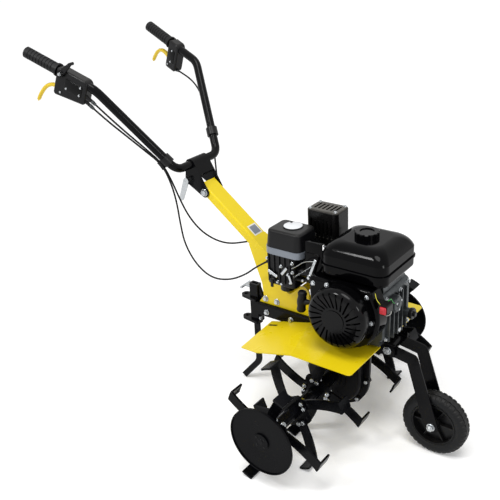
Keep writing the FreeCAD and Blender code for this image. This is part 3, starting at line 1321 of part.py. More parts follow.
def control_housing(side_name, side, length, front, rear, cables):
    """Moulded housing clamped round the tube, slotted for its lever, with the cable ends."""
    box = Piece("housing_" + side_name)
    half = length / 2
    w = S.housing_half_width
    r = S.housing_heel
    nose = S.housing_nose
    box.plate([[(r - half, r - front, r), (half - r, r - rear, r),
                (half - r, S.housing_top - r, r), (nose - half, S.housing_top - nose, nose)]], -w, w)
    box.fillet_faces(lambda c, n: abs(n.y) > 0.99, S.housing_round)
    slot = S.lever_width / 2 + S.lever_play
    high = S.lever_root_radius - S.lever_root_down + S.lever_headroom
    box.cut_plate([rectangle(S.lever_root_along - S.lever_root_radius - 2, half + 1,
                             -rear - 1, high)], -slot, slot)
    root, back, turn = grip_frame(side)
    middle = root - back * float(half + S.housing_gap)
    seat_at(box.body, middle, turn)
    ends = []
    for name, (ahead, aside, below) in cables:
        tip = middle + turn.multVec(spot(-ahead, aside, -below))
        ends.append(ferrule(name, True, tip, S.ferrule_length, S.ferrule_radius))
    whole = fused("housing_%s_with_ends" % side_name, [box.body] + ends)
    core = shaped("bar_in_housing_" + side_name, BAR_CORE)
    node(less("housing_%s_shape" % side_name, whole, core), "control_housing_" + side_name)
    return middle, turn


def control_lever(name, tip_along, middle, turn):
    """Flat lever with a knee that hangs below the grip."""
    blade = Piece(name)
    w = S.lever_width / 2
    root = (S.lever_root_along, -S.lever_root_down, S.lever_root_radius)
    knee = (S.lever_knee_along, -S.lever_knee_down, S.lever_knee_radius)
    tip = (tip_along, -S.lever_tip_down, S.lever_tip_radius)
    blade.plate([[root, knee]], -w, w)
    blade.plate([[knee, tip]], -w, w)
    blade.fillet_faces(lambda c, n: abs(n.y) > 0.99, S.lever_edge)
    seat_at(blade.body, middle, turn)
    node(blade.body, name)


def throttle_lever(middle, turn):
    """Thumb lever on the side of the right housing."""
    thumb = Piece("throttle_lever")
    y0 = S.housing_half_width + S.lever_play
    root = (S.thumb_root_along, S.thumb_root_up, S.thumb_root_radius)
    tip = (S.thumb_tip_along, S.thumb_tip_up, S.thumb_tip_radius)
    thumb.plate([[root, tip]], y0, y0 + S.thumb_sheet)
    thumb.plate([[tip]], y0 - S.thumb_pad, y0 + S.thumb_sheet)
    seat_at(thumb.body, middle, turn)
    node(thumb.body, "throttle_lever")


def cable_clip(name, side, rise_along, cables):
    """Ring round the handlebar with an eye for each cable."""
    low_bend = bar_point(S.crossbar_x, S.crossbar_half, S.crossbar_z, side)
    knee = bar_point(S.upper_bend_x, S.upper_bend_y, S.upper_bend_z, side)
    rise = (knee - low_bend).normalize()
    start = low_bend + rise * float(rise_along)
    length = float(S.clip_length)
    clip = Part.makeCylinder(float(S.tube_radius + S.clip_wall), length, start, rise)
    slab = Part.makeCylinder(4 * float(S.tube_radius), length, start, rise)
    for cable in cables:
        clip = clip.fuse(tube_along(CABLE_PATHS[cable], S.cable_radius + S.clip_cable_wall).common(slab))
    for cable in cables:
        clip = clip.cut(tube_along(CABLE_PATHS[cable], S.cable_radius + S.cable_play))
    clip = clip.cut(Part.makeCylinder(float(S.tube_radius), length + 4, start - rise * 2, rise))
    node(shaped(name + "_shape", clip), name)


handlebar_clamp()
shaft("clamp_pivot_bolt", S.pivot_radius, CLAMP_OUTER + S.bolt_past_plate, (S.pivot_x, 0, S.pivot_z))
cam_lever()
for name, side in SIDES:
    grip("grip_" + name, side)
CLUTCH_END = (S.clutch_end_ahead, S.clutch_end_aside, S.clutch_end_below)
THROTTLE_END = (S.throttle_end_ahead, S.throttle_end_aside, S.throttle_end_below)
REVERSE_END = (S.reverse_end_ahead, S.reverse_end_aside, S.reverse_end_below)
right_seat = control_housing("right", -1, S.right_housing_length, S.right_housing_front,
                             S.right_housing_rear,
                             (("clutch", CLUTCH_END), ("throttle", THROTTLE_END)))
left_seat = control_housing("left", 1, S.left_housing_length, S.left_housing_drop, S.left_housing_drop,
                            (("reverse", REVERSE_END),))
control_lever("control_lever_right", S.right_lever_along, *right_seat)
control_lever("control_lever_left", S.left_lever_along, *left_seat)
throttle_lever(*right_seat)
cable_clip("cable_clip_right", -1, S.clip_right_rise, ("clutch", "throttle"))
cable_clip("cable_clip_left", 1, S.clip_left_rise, ("reverse",))

# ---------------------------------------------------------------- fork and wheel
FORK_INNER = S.wheel_half_width + S.fork_gap
FORK_OUTER = FORK_INNER + S.fork_sheet
RIM_SEAT = S.wheel_radius - S.tyre_height


def fork_plate(name, side):
    """Bent plate from the pivot over the knee to the wheel's axle."""
    arm = Piece(name)
    y0, y1 = (FORK_INNER, FORK_OUTER) if side > 0 else (-FORK_OUTER, -FORK_INNER)
    pivot = (S.fork_pivot_x, FORK_Z, S.fork_half)
    knee = (S.fork_knee_x, S.fork_knee_z, S.fork_half)
    axle = (S.wheel_x, S.wheel_radius, S.fork_end)
    arm.plate([[pivot, knee]], y0, y1)
    arm.plate([[knee, axle]], y0, y1)
    arm.cut_plate([[(S.wheel_x, S.wheel_radius, S.wheel_bolt_radius)],
                   [(S.fork_pivot_x, FORK_Z, S.fork_tube_radius)]], y0 - 1, y1 + 1)
    arm.done((AXLE_X, 0, 0))


def fork_crosshead():
    """Tube between the fork plates that turns on the pivot bolt."""
    tube = Piece("fork_crosshead")
    tube.plate([[(0, 0, S.fork_tube_radius)], [(0, 0, S.fork_bolt_radius + S.running_gap)]], -FORK_OUTER,
               FORK_OUTER)
    tube.done((S.fork_pivot_x, 0, FORK_Z))


def front_tyre():
    """Solid tyre with round shoulders."""
    tyre = Piece("front_tyre")
    hw = S.wheel_half_width
    s = S.tyre_shoulder
    bead = hw - S.bead_inset
    tyre.turned("YZ_Plane", [[(-bead, RIM_SEAT), (bead, RIM_SEAT), (hw - s, S.wheel_radius - s, s),
                              (s - hw, S.wheel_radius - s, s)]], "Y_Axis")
    tyre.done((S.wheel_x, 0, S.wheel_radius))


def wheel_rim():
    """Moulded rim: a seat for the tyre, a thin web, six ribs and a long hub."""
    rim = Piece("wheel_rim")
    bead = S.wheel_half_width - S.bead_inset
    bore = S.wheel_bolt_radius + S.running_gap
    hub = S.wheel_half_width + S.hub_past_tyre
    well = RIM_SEAT - S.rim_wall
    web = S.rim_web / 2
    rim.turned("YZ_Plane", [[(-hub, bore), (hub, bore), (hub, S.wheel_hub_radius),
                             (web, S.wheel_hub_radius),
                             (web, well), (bead, well), (bead, RIM_SEAT), (-bead, RIM_SEAT), (-bead, well),
                             (-web, well), (-web, S.wheel_hub_radius), (-hub, S.wheel_hub_radius)]],
               "Y_Axis")
    rib = rim.plate([rectangle(S.wheel_hub_radius - 1, well + 1, -S.rim_rib / 2, S.rim_rib / 2)],
                    -S.rim_dish / 2, S.rim_dish / 2)
    rim.round_about([rib], "Y_Axis", RIM_RIB_COUNT)
    rim.done((S.wheel_x, 0, S.wheel_radius))


for name, side in SIDES:
    fork_plate("fork_plate_" + name, side)
fork_crosshead()
shaft("fork_pivot_bolt", S.fork_bolt_radius, S.rail_half_width + S.bolt_past_plate,
      (S.fork_pivot_x, 0, FORK_Z))
shaft("wheel_bolt", S.wheel_bolt_radius, FORK_OUTER + S.axle_past_fork, (S.wheel_x, 0, S.wheel_radius))
front_tyre()
wheel_rim()


# ---------------------------------------------------------------- coulter and hitch
def coulter():
    """Flat bar with a row of depth holes, bent rearward to its toe."""
    bar = Piece("coulter")
    h = S.coulter_half
    r = S.coulter_bend_radius
    bend_x = S.coulter_x - h - r
    bar.plate([[(S.coulter_tip_x, S.coulter_tip_z), (bend_x, S.coulter_bend_z, r + 2 * h),
                (S.coulter_x + h, S.coulter_top_z), (S.coulter_x - h, S.coulter_top_z),
                (bend_x, S.coulter_bend_z, -r), (S.coulter_heel_x, S.coulter_heel_z)]],
              -S.coulter_half_thickness, S.coulter_half_thickness)
    hole = bar.cut_plate([[(S.coulter_x, S.coulter_hole_z, S.coulter_hole_radius)]],
                         -S.coulter_half_thickness - 1, S.coulter_half_thickness + 1)
    bar.in_line([hole], "Z_Axis", S.coulter_hole_row, COULTER_HOLE_COUNT)
    bar.done((AXLE_X, 0, 0))


def hitch_bracket():
    """Sleeve for the coulter with two hitch lugs, ribbed to a plate on the channel."""
    hitch = Piece("hitch_bracket")
    h = S.coulter_half
    t = S.coulter_half_thickness
    wall = S.sleeve_wall
    back = S.coulter_x - h - wall
    front = S.coulter_x + h + wall
    hitch.slab([rounded(back, front, -t - wall, t + wall, S.sleeve_round)], S.sleeve_bottom_z,
               S.sleeve_top_z)
    hitch.plate([[(front - 1, S.sleeve_bottom_z), (S.rail_rear_x - S.sleeve_plate, RAIL_BOTTOM),
                  (S.rail_rear_x - S.sleeve_plate, S.rail_top_z), (front - 1, S.sleeve_top_z)]],
                -S.sleeve_rib_half, S.sleeve_rib_half)
    hitch.slab([rectangle(S.rail_rear_x - S.sleeve_plate, S.rail_rear_x, -S.sleeve_plate_half,
                          S.sleeve_plate_half)],
               RAIL_BOTTOM, S.rail_top_z)
    for middle in (S.upper_lug_z, S.lower_lug_z):
        hitch.slab([[(S.lug_hole_x, 0, S.lug_tip_radius), (front - wall, -S.lug_wing_y, S.lug_wing_radius),
                     (front - wall, S.lug_wing_y, S.lug_wing_radius)]],
                   middle - S.lug_thickness / 2, middle + S.lug_thickness / 2)
    play = S.coulter_play
    hitch.cut_slab([rectangle(S.coulter_x - h - play, S.coulter_x + h + play, -t - play, t + play)],
                   S.sleeve_bottom_z - 1, S.sleeve_top_z + 1)
    hitch.cut_slab([[(S.lug_hole_x, 0, S.lug_hole_radius)]], S.lower_lug_z - S.lug_thickness,
                   S.upper_lug_z + S.lug_thickness)
    hitch.cut_beam([[(0, S.stop_bolt_z, S.stop_bolt_radius)]], back - 1, S.coulter_x - h)
    hitch.done((AXLE_X, 0, 0))


def coulter_bolt():
    """T bolt that presses the coulter in its sleeve."""
    bolt = Piece("coulter_bolt")
    tip = S.coulter_x - S.coulter_half - S.stop_gap
    head = S.coulter_x - S.coulter_half - S.sleeve_wall - S.stop_bolt_length
    bolt.beam([[(0, S.stop_bolt_z, S.stop_bolt_radius)]], head, tip)
    bolt.plate([[(head, S.stop_bolt_z, S.stop_bar_radius)]], -S.stop_bar_half, S.stop_bar_half)
    bolt.done((AXLE_X, 0, 0))


coulter()
hitch_bracket()
coulter_bolt()

# ---------------------------------------------------------------- engine
SHROUD_Y = S.block_right_y - S.shroud_depth
DRIVE_Y = S.block_left_y + S.cover_depth
TANK_CROWN_Z = S.tank_bottom_z + S.tank_rise


def crankcase():
    """Cast crankcase with its base flange, cover, tank bracket, front boss, ribs and oil neck."""
    case = Piece("crankcase")
    foot_top = S.rail_top_z + S.foot_height
    r = S.block_round
    case.plate([rounded(S.block_rear_x, S.block_front_x, foot_top, S.block_top_z, r)], S.block_right_y,
               S.block_left_y)
    case.fillet_faces(lambda c, n: abs(n.y) > 0.99, S.block_edge)
    case.slab([rectangle(S.crank_x - S.foot_half_length, S.crank_x + S.foot_half_length, S.block_right_y,
                         S.block_left_y)], S.rail_top_z, foot_top + r)
    case.plate([[(S.crank_x, CRANK_Z, S.cover_radius)]], S.block_left_y - S.saddle_sink, DRIVE_Y)
    case.slab([rectangle(S.saddle_rear_x, S.saddle_front_x, -S.saddle_half_width, S.saddle_half_width)],
              S.block_top_z - S.saddle_sink, S.tank_bottom_z)
    case.beam([[(S.front_boss_y, S.front_boss_z, S.front_boss_radius)]], S.block_front_x - r,
              S.block_front_x + S.front_boss_reach)
    case.beam([[(S.neck_y, S.neck_z, S.neck_radius)]], S.block_front_x - r, S.block_front_x + S.neck_reach)
    rib = case.beam([rectangle(S.front_rib_y, S.front_rib_y + S.front_rib, foot_top,
                               S.block_top_z - S.front_rib_top)],
                    S.block_front_x - r, S.block_front_x + S.front_rib_reach)
    case.in_line([rib], "Y_Axis", S.front_rib_row, CASE_RIB_COUNT)
    case.done((AXLE_X, 0, 0))
    return case.body


def cylinder_turn():
    """Turn that lays the cylinder, modelled along -X, at its slant."""
    return FreeCAD.Rotation(ALONG_Y, float(S.cylinder_slant))


def cylinder(case):
    """Finned barrel with the head's flange, seated on the crankcase."""
    barrel = Piece("barrel")
    y0 = S.barrel_right_y
    y1 = S.barrel_left_y
    h = S.barrel_half_height
    r = S.barrel_corner
    f = S.fin_reach
    barrel.beam([rounded(y0, y1, -h, h, r)], -S.barrel_far, -S.barrel_near)
    fin = barrel.beam([rounded(y0 - f, y1 + f, -h - f, h + f, r)], -S.fin_start,
                      S.fin_thickness - S.fin_start)
    barrel.in_line([fin], "X_Axis", S.fin_row, FIN_COUNT, backwards=True)
    g = S.head_flange_reach
    top = S.barrel_far + S.barrel_top_flange
    barrel.beam([rounded(y0 - f, y1 + f, -h - g, h + g, r)], -top, S.head_flange - top)
    seat(barrel.body, (S.crank_x, 0, CRANK_Z), cylinder_turn())
    thing = less("cylinder_shape", barrel.body, case)
    node(thing, "cylinder")
    cover = Piece("valve_cover")
    inset = S.valve_cover_inset
    k = S.valve_cover_half
    cover.beam([rounded(y0 + inset, y1 - inset, -k, k, S.valve_cover_round)], -top - S.valve_cover_depth,
               -top)
    cover.fillet_faces(lambda c, n: n.x < -0.99, S.valve_cover_edge)
    cover.done((S.crank_x, 0, CRANK_Z), cylinder_turn())
    return thing, cover.body


def fan_housing():
    """Blower housing: round below, square above, with a raised seat for the starter."""
    shroud = Piece("fan_housing")
    top = S.tank_bottom_z - S.shroud_below_tank
    c = S.shroud_corner
    shroud.plate([[(S.crank_x, CRANK_Z, S.shroud_radius), (S.shroud_front_x - c, top - c, c),
                   (S.shroud_rear_x + c, top - c, c)]], SHROUD_Y, S.block_right_y)
    shroud.fillet_faces(lambda c, n: n.y < -0.99, S.shroud_edge)
    shroud.plate([[(S.crank_x, CRANK_Z, S.shroud_collar_radius)]], SHROUD_Y - S.shroud_collar, SHROUD_Y)
    shroud.done((AXLE_X, 0, 0))
    return shroud.body


def recoil_cover():
    """Starter cover: a domed shell with swept vents and the starter reel behind them."""
    cover = Piece("recoil_cover")
    depth = S.recoil_depth - S.shroud_collar
    wall = S.recoil_wall
    sh = S.recoil_shoulder
    big = S.recoil_radius
    badge = depth + S.recoil_badge_height
    cover.turned("YZ_Plane", [[(0, big - wall), (0, big), (sh - depth, big - sh, sh),
                               (-depth, S.recoil_badge_radius),
                               (-badge, S.recoil_badge_radius), (-badge, 0), (wall - depth, 0),
                               (sh - depth, big - sh, wall - sh)]], "Y_Axis")
    vent = cover.cut_plate([[(S.slot_inner_radius, 0, S.slot_half_width),
                             (S.slot_outer_radius, S.slot_sweep, S.slot_half_width)]],
                           -depth - 1, 2 * wall - depth)
    cover.round_about([vent], "Y_Axis", VENT_COUNT)
    reel_y = wall - depth + S.rotor_gap
    cover.plate([[(0, 0, S.rotor_radius)]], reel_y, reel_y + S.rotor_rim)
    cover.plate([[(0, 0, S.rotor_post)]], wall - depth - 1, reel_y)
    ear = cover.plate([[(S.recoil_ear_circle, 0, S.recoil_ear)]], -S.recoil_flange, 0)
    cover.round_about([ear], "Y_Axis", COVER_EAR_COUNT)
    cover.done((S.crank_x, SHROUD_Y - S.shroud_collar, CRANK_Z))


def fuel_tank():
    """Pressed tank in two halves: a welded seam and a lofted crown."""
    tank = Piece("fuel_tank")
    x0 = S.tank_rear_x
    x1 = S.tank_front_x
    y0 = S.tank_right_y
    y1 = S.tank_left_y
    r = S.tank_corner
    tank.slab([rounded(x0, x1, y0, y1, r)], 0, S.tank_shoulder_rise)
    tank.fillet_faces(lambda c, n: n.z < -0.99, S.tank_edge)
    tank.loft([(rounded(x0, x1, y0, y1, r), S.tank_shoulder_rise),
               (inset_of(x0, x1, y0, y1, r, S.tank_mid_inset), S.tank_mid_rise),
               (inset_of(x0, x1, y0, y1, r, S.tank_crown_inset), S.tank_rise)])
    k = S.tank_seam_reach
    tank.slab([rounded(x0 - k, x1 + k, y0 - k, y1 + k, r + k)], S.tank_seam_rise - S.tank_seam_half,
              S.tank_seam_rise + S.tank_seam_half)
    tank.done((AXLE_X, 0, S.tank_bottom_z))


def inset_of(x0, x1, y0, y1, r, inset):
    """Rounded rectangle drawn in from another by an inset."""
    return rounded(x0 + inset, x1 - inset, y0 + inset, y1 - inset, r)


def tank_cap():
    """Screw cap with grip grooves round its rim and a shallow recess."""
    cap = Piece("tank_cap")
    r = S.cap_radius
    h = S.cap_height
    c = S.cap_chamfer
    cap.turned("XZ_Plane", [[(0, 0), (r, 0), (r, h - c), (r - c, h), (S.cap_recess_radius, h),
                             (S.cap_recess_radius, h - S.cap_recess), (0, h - S.cap_recess)]], "Z_Axis")
    groove = cap.cut_slab([[(r, 0, S.cap_groove_radius)]], -1, h + 1)
    cap.round_about([groove], "Z_Axis", CAP_GROOVE_COUNT)
    cap.done((S.cap_x, S.cap_y, TANK_CROWN_Z))


def air_filter():
    """Base ring and the tapered cover with its round panel."""
    ring = Piece("filter_base")
    x = S.filter_length / 2
    y = S.filter_width / 2
    r = S.filter_corner
    ring.slab([rounded(-x, x, -y, y, r)], 0, S.filter_band)
    ring.done((S.filter_x, S.filter_y, S.filter_base_z))
    cover = Piece("filter_cover")
    n = S.cover_inset
    cover.slab([rounded(n - x, x - n, n - y, y - n, r - n)], 0, S.filter_height, TaperAngle=-S.filter_draft)
    cover.fillet_faces(lambda c, n: n.z > 0.99, S.filter_edge)
    cover.slab([[(S.filter_knob_x - S.filter_x, S.filter_knob_y - S.filter_y, S.filter_knob_radius)]],
               S.filter_height - 1, S.filter_height + S.filter_knob_height)
    cover.done((S.filter_x, S.filter_y, S.filter_base_z + S.filter_band))


def carburettor_housing():
    """Intake housing with ribs, the float bowl, the intake pipe and the throttle cable's end."""
    box = Piece("intake_box")
    x0 = S.intake_rear_x
    x1 = S.intake_front_x
    y0 = S.intake_right_y
    y1 = S.intake_left_y
    box.slab([rounded(x0, x1, y0, y1, S.intake_round)], S.intake_bottom_z, S.filter_base_z)
    box.fillet_faces(lambda c, n: n.z < -0.99, S.intake_edge)
    rib = box.slab([rectangle(S.intake_rib_x, S.intake_rib_x + S.intake_rib, y0 - S.intake_rib_reach,
                              y0 + S.intake_rib)], S.intake_bottom_z + S.intake_round, S.filter_base_z)
    box.in_line([rib], "X_Axis", S.intake_rib_row, INTAKE_RIB_COUNT)
    box.slab([[(S.bowl_x, S.bowl_y, S.bowl_radius)]], S.intake_bottom_z - S.bowl_depth, S.intake_bottom_z)
    box.beam([[(S.intake_pipe_y, S.intake_pipe_z, S.intake_pipe_radius)]], x1 - S.intake_round,
             S.intake_pipe_end_x)
    seat(box.body, (AXLE_X, 0, 0))
    tip = spot(x0 - S.throttle_foot_behind, y0 + S.throttle_foot_in, S.filter_base_z - S.throttle_foot_below)
    end = ferrule("throttle", False, tip, S.intake_ferrule, S.engine_ferrule_radius)
    node(fused("carburettor_shape", [box.body, end]), "carburettor_housing")


def muffler_guard():
    """Perforated sheet box over the muffler, open below."""
    guard = Piece("muffler_guard")
    x0 = S.guard_rear_x
    x1 = S.guard_front_x
    y0 = S.guard_right_y
    y1 = S.guard_left_y
    t = S.guard_sheet
    r = S.guard_corner
    s = S.guard_slot_radius
    guard.slab([rounded(x0, x1, y0, y1, r)], S.guard_bottom_z, S.guard_top_z)
    guard.fillet_faces(lambda c, n: n.z > 0.99, S.guard_edge)
    guard.cut_slab([rounded(x0 + t, x1 - t, y0 + t, y1 - t, r - t)], S.guard_bottom_z - 1,
                   S.guard_top_z - t)
    side = guard.cut_plate([[(S.guard_slot_x, S.guard_slot_low_z, s),
                             (S.guard_slot_x, S.guard_slot_high_z, s)]],
                           y0 - 1, y1 + 1)
    guard.in_line([side], "X_Axis", S.guard_slot_row, GUARD_SLOT_COUNT)
    top = guard.cut_slab([[(S.guard_slot_x, S.guard_slot_near_y, s),
                           (S.guard_slot_x, S.guard_slot_far_y, s)]],
                         S.guard_top_z - t - 1, S.guard_top_z + 1)
    guard.in_line([top], "X_Axis", S.guard_slot_row, GUARD_SLOT_COUNT)
    guard.done((AXLE_X, 0, 0))


def muffler(barrel, cover):
    """Muffler can held in its guard, with the exhaust pipe from the cylinder."""
    can = Piece("muffler_can")
    rear = S.guard_rear_x + S.guard_sheet
    length = S.guard_front_x - S.guard_rear_x - 2 * S.guard_sheet
    e = S.can_edge
    can.turned("XZ_Plane", [[(0, 0), (length, 0), (length - e, S.can_radius - e, e),
                             (e, S.can_radius - e, e)]], "X_Axis")
    foot = S.pipe_bottom_z - S.can_z
    can.slab([[(S.pipe_x - rear, S.pipe_y - S.can_y, S.pipe_radius)]], foot, foot + S.pipe_length)
    seat(can.body, (rear, S.can_y, S.can_z))
    node(less("muffler_shape", can.body, fused("cylinder_and_cover", [barrel, cover])), "muffler")


def drive_cover():
    """Belt cover over the crankshaft and the input shaft, with a raised panel and cable ends."""
    cover = Piece("belt_cover")
    far = DRIVE_Y + S.drive_cover_depth
    i = S.drive_panel_inset
    cover.plate([[(S.crank_x, CRANK_Z, S.drive_cover_front), (S.input_x, S.input_z, S.drive_cover_rear)]],
                DRIVE_Y, far)
    cover.fillet_faces(lambda c, n: n.y > 0.99, S.drive_cover_edge)
    cover.plate([[(S.crank_x, CRANK_Z, S.drive_cover_front - i),
                  (S.input_x, S.input_z, S.drive_cover_rear - i)]],
                far - 1, far + S.drive_panel_height)
    seat(cover.body, (AXLE_X, 0, 0))
    clutch = spot(S.input_x - S.clutch_foot_behind, DRIVE_Y + S.clutch_foot_out, S.input_z + S.clutch_foot_up)
    reverse = spot(S.input_x - S.reverse_foot_behind, DRIVE_Y + S.reverse_foot_out,
                   S.input_z + S.reverse_foot_up)
    ends = [ferrule("clutch", False, clutch, S.clutch_ferrule, S.engine_ferrule_radius),
            ferrule("reverse", False, reverse, S.reverse_ferrule, S.engine_ferrule_radius)]
    node(fused("drive_cover_shape", [cover.body] + ends), "drive_cover")


def engine_switch(shroud):
    """Stop switch on a bracket from the side of the fan housing."""
    switch = Piece("switch_and_bracket")
    x0 = S.switch_x
    z0 = S.switch_z
    z1 = z0 + S.switch_side
    switch.plate([rectangle(S.switch_bracket_x, x0 + S.switch_side, z0, z1)], S.switch_y,
                 S.switch_y + S.switch_bracket)
    switch.plate([rounded(x0, x0 + S.switch_side, z0, z1, S.switch_corner)], S.switch_y - S.switch_depth,
                 S.switch_y)
    seat(switch.body, (AXLE_X, 0, 0))
    node(less("switch_shape", switch.body, shroud), "engine_switch")


case = crankcase()
barrel, head_cover = cylinder(case)
shroud = fan_housing()
recoil_cover()
fuel_tank()
tank_cap()
air_filter()
carburettor_housing()
muffler_guard()
muffler(barrel, head_cover)
drive_cover()
engine_switch(shroud)

# ---------------------------------------------------------------- checks and files
doc.recompute()
os.makedirs("parts", exist_ok=True)
for thing in doc.Objects:
    if "Invalid" in thing.State or "Error" in thing.State:
        raise RuntimeError("%s failed to recompute" % thing.Name)
for thing in NODES:
    if thing.Shape.isNull() or not thing.Shape.isValid():
        raise RuntimeError("%s has no valid shape" % thing.Label)
    if len(thing.Shape.Solids) != 1:
        raise RuntimeError("%s has %d solids" % (thing.Label, len(thing.Shape.Solids)))
for thing in NODES:
    thing.Shape.exportStep("parts/%s.step" % thing.Label)
print(len(NODES), "sub-parts written")
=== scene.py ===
"""Looks of a walk-behind garden tiller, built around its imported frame."""
import logging
import math
from dataclasses import dataclass, field
from enum import Enum
from typing import Any, Sequence

import bmesh
import bpy
from mathutils import Matrix, Vector


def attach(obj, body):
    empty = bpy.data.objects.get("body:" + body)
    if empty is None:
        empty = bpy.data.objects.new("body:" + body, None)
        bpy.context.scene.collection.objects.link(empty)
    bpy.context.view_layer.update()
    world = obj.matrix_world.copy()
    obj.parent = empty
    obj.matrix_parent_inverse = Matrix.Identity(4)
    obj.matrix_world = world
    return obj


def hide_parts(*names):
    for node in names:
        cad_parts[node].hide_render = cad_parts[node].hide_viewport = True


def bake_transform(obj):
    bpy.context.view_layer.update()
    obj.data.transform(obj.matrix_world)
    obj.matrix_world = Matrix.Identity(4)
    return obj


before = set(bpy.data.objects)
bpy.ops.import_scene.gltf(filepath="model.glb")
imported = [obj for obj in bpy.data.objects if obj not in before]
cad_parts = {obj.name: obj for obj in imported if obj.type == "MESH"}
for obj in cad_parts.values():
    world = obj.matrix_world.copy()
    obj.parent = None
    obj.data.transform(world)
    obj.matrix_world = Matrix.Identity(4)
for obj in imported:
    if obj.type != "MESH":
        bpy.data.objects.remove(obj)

logging.basicConfig(level=logging.INFO, format="%(message)s")
log = logging.getLogger("tiller")
MM = 0.001
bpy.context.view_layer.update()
Spot = tuple[float, float]
Point = tuple[float, float, float]
AHEAD: Point = (1, 0, 0)
UP: Point = (0, 0, 1)


class Side(Enum):
    """The machine's two sides, as the sign of Y."""

    LEFT = 1
    RIGHT = -1

    @property
    def out(self) -> Point:
        """Return the direction out of this side."""
        return (0, self.value, 0)


class Head(Enum):
    """Shapes of a fastener's head, as the number of corners it has."""

    HEX = 6
    ROUND = 20


# ---- colours and shader nodes
MIX_A, MIX_B, MIX_RESULT = 6, 7, 2  # the colour sockets of a Mix node
CLOUD_LOW, CLOUD_HIGH = 0.3, 0.7  # nearly all of a noise lies between these
LEAST_ROUGHNESS = 0.02
COAT_ROUGHNESS = 0.08
DUST_AND_SHEEN_FROM = 0.2  # a face turned up less than this gets no dust and no painted reflection


def linear(code: str) -> tuple[float, float, float, float]:
    """Turn an sRGB hex colour into linear light.

    Args:
        code: the colour, such as "f2c40f".

    Returns:
        Red, green, blue and an alpha of 1.
    """
    shares = [int(code[k:k + 2], 16) / 255 for k in (0, 2, 4)]
    light = [q / 12.92 if q <= 0.04045 else ((q + 0.055) / 1.055) ** 2.4 for q in shares]
    return (*light, 1.0)


def add_node(tree: bpy.types.NodeTree, kind: str, inputs: dict[Any, Any] | None = None,
             **settings: Any) -> Any:
    """Add one shader node with its settings and links.

    Args:
        tree: the material's node tree.
        kind: the node's type name.
        inputs: a constant or an output socket for each named or numbered input.
        settings: attributes of the node.

    Returns:
        The node.
    """
    node = tree.nodes.new(kind)
    for name, value in settings.items():
        setattr(node, name, value)
    for name, value in (inputs or {}).items():
        if isinstance(value, bpy.types.NodeSocket):
            tree.links.new(value, node.inputs[name])
        else:
            node.inputs[name].default_value = value
    return node


def emptied(owner: Any) -> bpy.types.NodeTree:
    """Clear the nodes of a new material or world.

    Args:
        owner: the material or world.

    Returns:
        Its node tree.
    """
    owner.use_nodes = True
    owner.node_tree.nodes.clear()
    return owner.node_tree


@dataclass(frozen=True)
class Finish:
    """A real material and how its surface was made.

    Every pattern's size is a real one in millimetres, or the finest that shows.
    """

    name: str
    colour: str
    shade: str
    roughness: float
    grain_mm: float
    grain_depth_mm: float
    metallic: float = 0.0
    ior: float = 1.5
    specular: float = 0.5
    coat: float = 0.0
    cloud_mm: float = 70.0
    rough_swing: float = 0.06
    # upward faces mix towards a second colour: real dust on most finishes, and on the guard's paint a painted
    # reflection of the sky on its top
    dust_and_sheen: float = 0.0
    dust_and_sheen_colour: str = "b9b0a0"
    stretch: Point = (1.0, 1.0, 1.0)

    def material(self) -> bpy.types.Material:
        """Build the node material at the first call.

        Returns:
            The material, the same one at every call.
        """
        ready = bpy.data.materials.get(self.name)
        if ready:
            return ready
        material = bpy.data.materials.new(self.name)
        tree = emptied(material)
        place = add_node(tree, "ShaderNodeTexCoord")
        coords = add_node(tree, "ShaderNodeMapping", {"Vector": place.outputs["Object"],
                                                      "Scale": self.stretch})
        cloud, grain = (
            add_node(tree, "ShaderNodeTexNoise", {"Vector": coords.outputs[0], "Scale": 1 / (size * MM),
                                                  "Detail": detail, "Roughness": share}).outputs["Fac"]
            for size, detail, share in ((self.cloud_mm, 3.0, 0.6), (self.grain_mm, 2.0, 0.55)))
        tint = add_node(tree, "ShaderNodeMix", {
            "Factor": cloud, MIX_A: linear(self.colour), MIX_B: linear(self.shade)}, data_type="RGBA")
        colour = tint.outputs[MIX_RESULT]
        rough = add_node(tree, "ShaderNodeMapRange", {
            "Value": cloud, "From Min": CLOUD_LOW, "From Max": CLOUD_HIGH,
            "To Min": max(self.roughness - self.rough_swing, LEAST_ROUGHNESS),
            "To Max": self.roughness + self.rough_swing})
        # upward faces mix towards the dust colour: real dust, and on the guard's paint a painted reflection
        # of the sky on its top
        if self.dust_and_sheen > 0:
            normal = add_node(tree, "ShaderNodeSeparateXYZ", {"Vector": place.outputs["Normal"]})
            upward = add_node(tree, "ShaderNodeMapRange", {
                "Value": normal.outputs["Z"], "From Min": DUST_AND_SHEEN_FROM, "To Max": self.dust_and_sheen})
            dust_and_sheen_share = add_node(tree, "ShaderNodeMath", {0: upward.outputs[0], 1: cloud},
                               operation="MULTIPLY")
            dust_and_sheen_mix = add_node(tree, "ShaderNodeMix", {
                "Factor": dust_and_sheen_share.outputs[0], MIX_A: colour, MIX_B: linear(self.dust_and_sheen_colour)},
                data_type="RGBA")
            colour = dust_and_sheen_mix.outputs[MIX_RESULT]
        bump = add_node(tree, "ShaderNodeBump", {"Height": grain, "Distance": self.grain_depth_mm * MM})
        shader = add_node(tree, "ShaderNodeBsdfPrincipled", {
            "Base Color": colour, "Metallic": self.metallic, "Roughness": rough.outputs[0],
            "IOR": self.ior, "Specular IOR Level": self.specular, "Coat Weight": self.coat,
            "Coat Roughness": COAT_ROUGHNESS, "Normal": bump.outputs[0]})
        add_node(tree, "ShaderNodeOutputMaterial", {"Surface": shader.outputs[0]})
        return material


# Polyester powder coat, sprayed on sheet steel and baked: even yellow with a faint orange peel.
YELLOW_COAT = Finish(
    "yellow_powder_coat", "e6ce10", "e0c409", 0.30, 2.4, 0.02, specular=0.3, coat=0.08, dust_and_sheen=0.02)
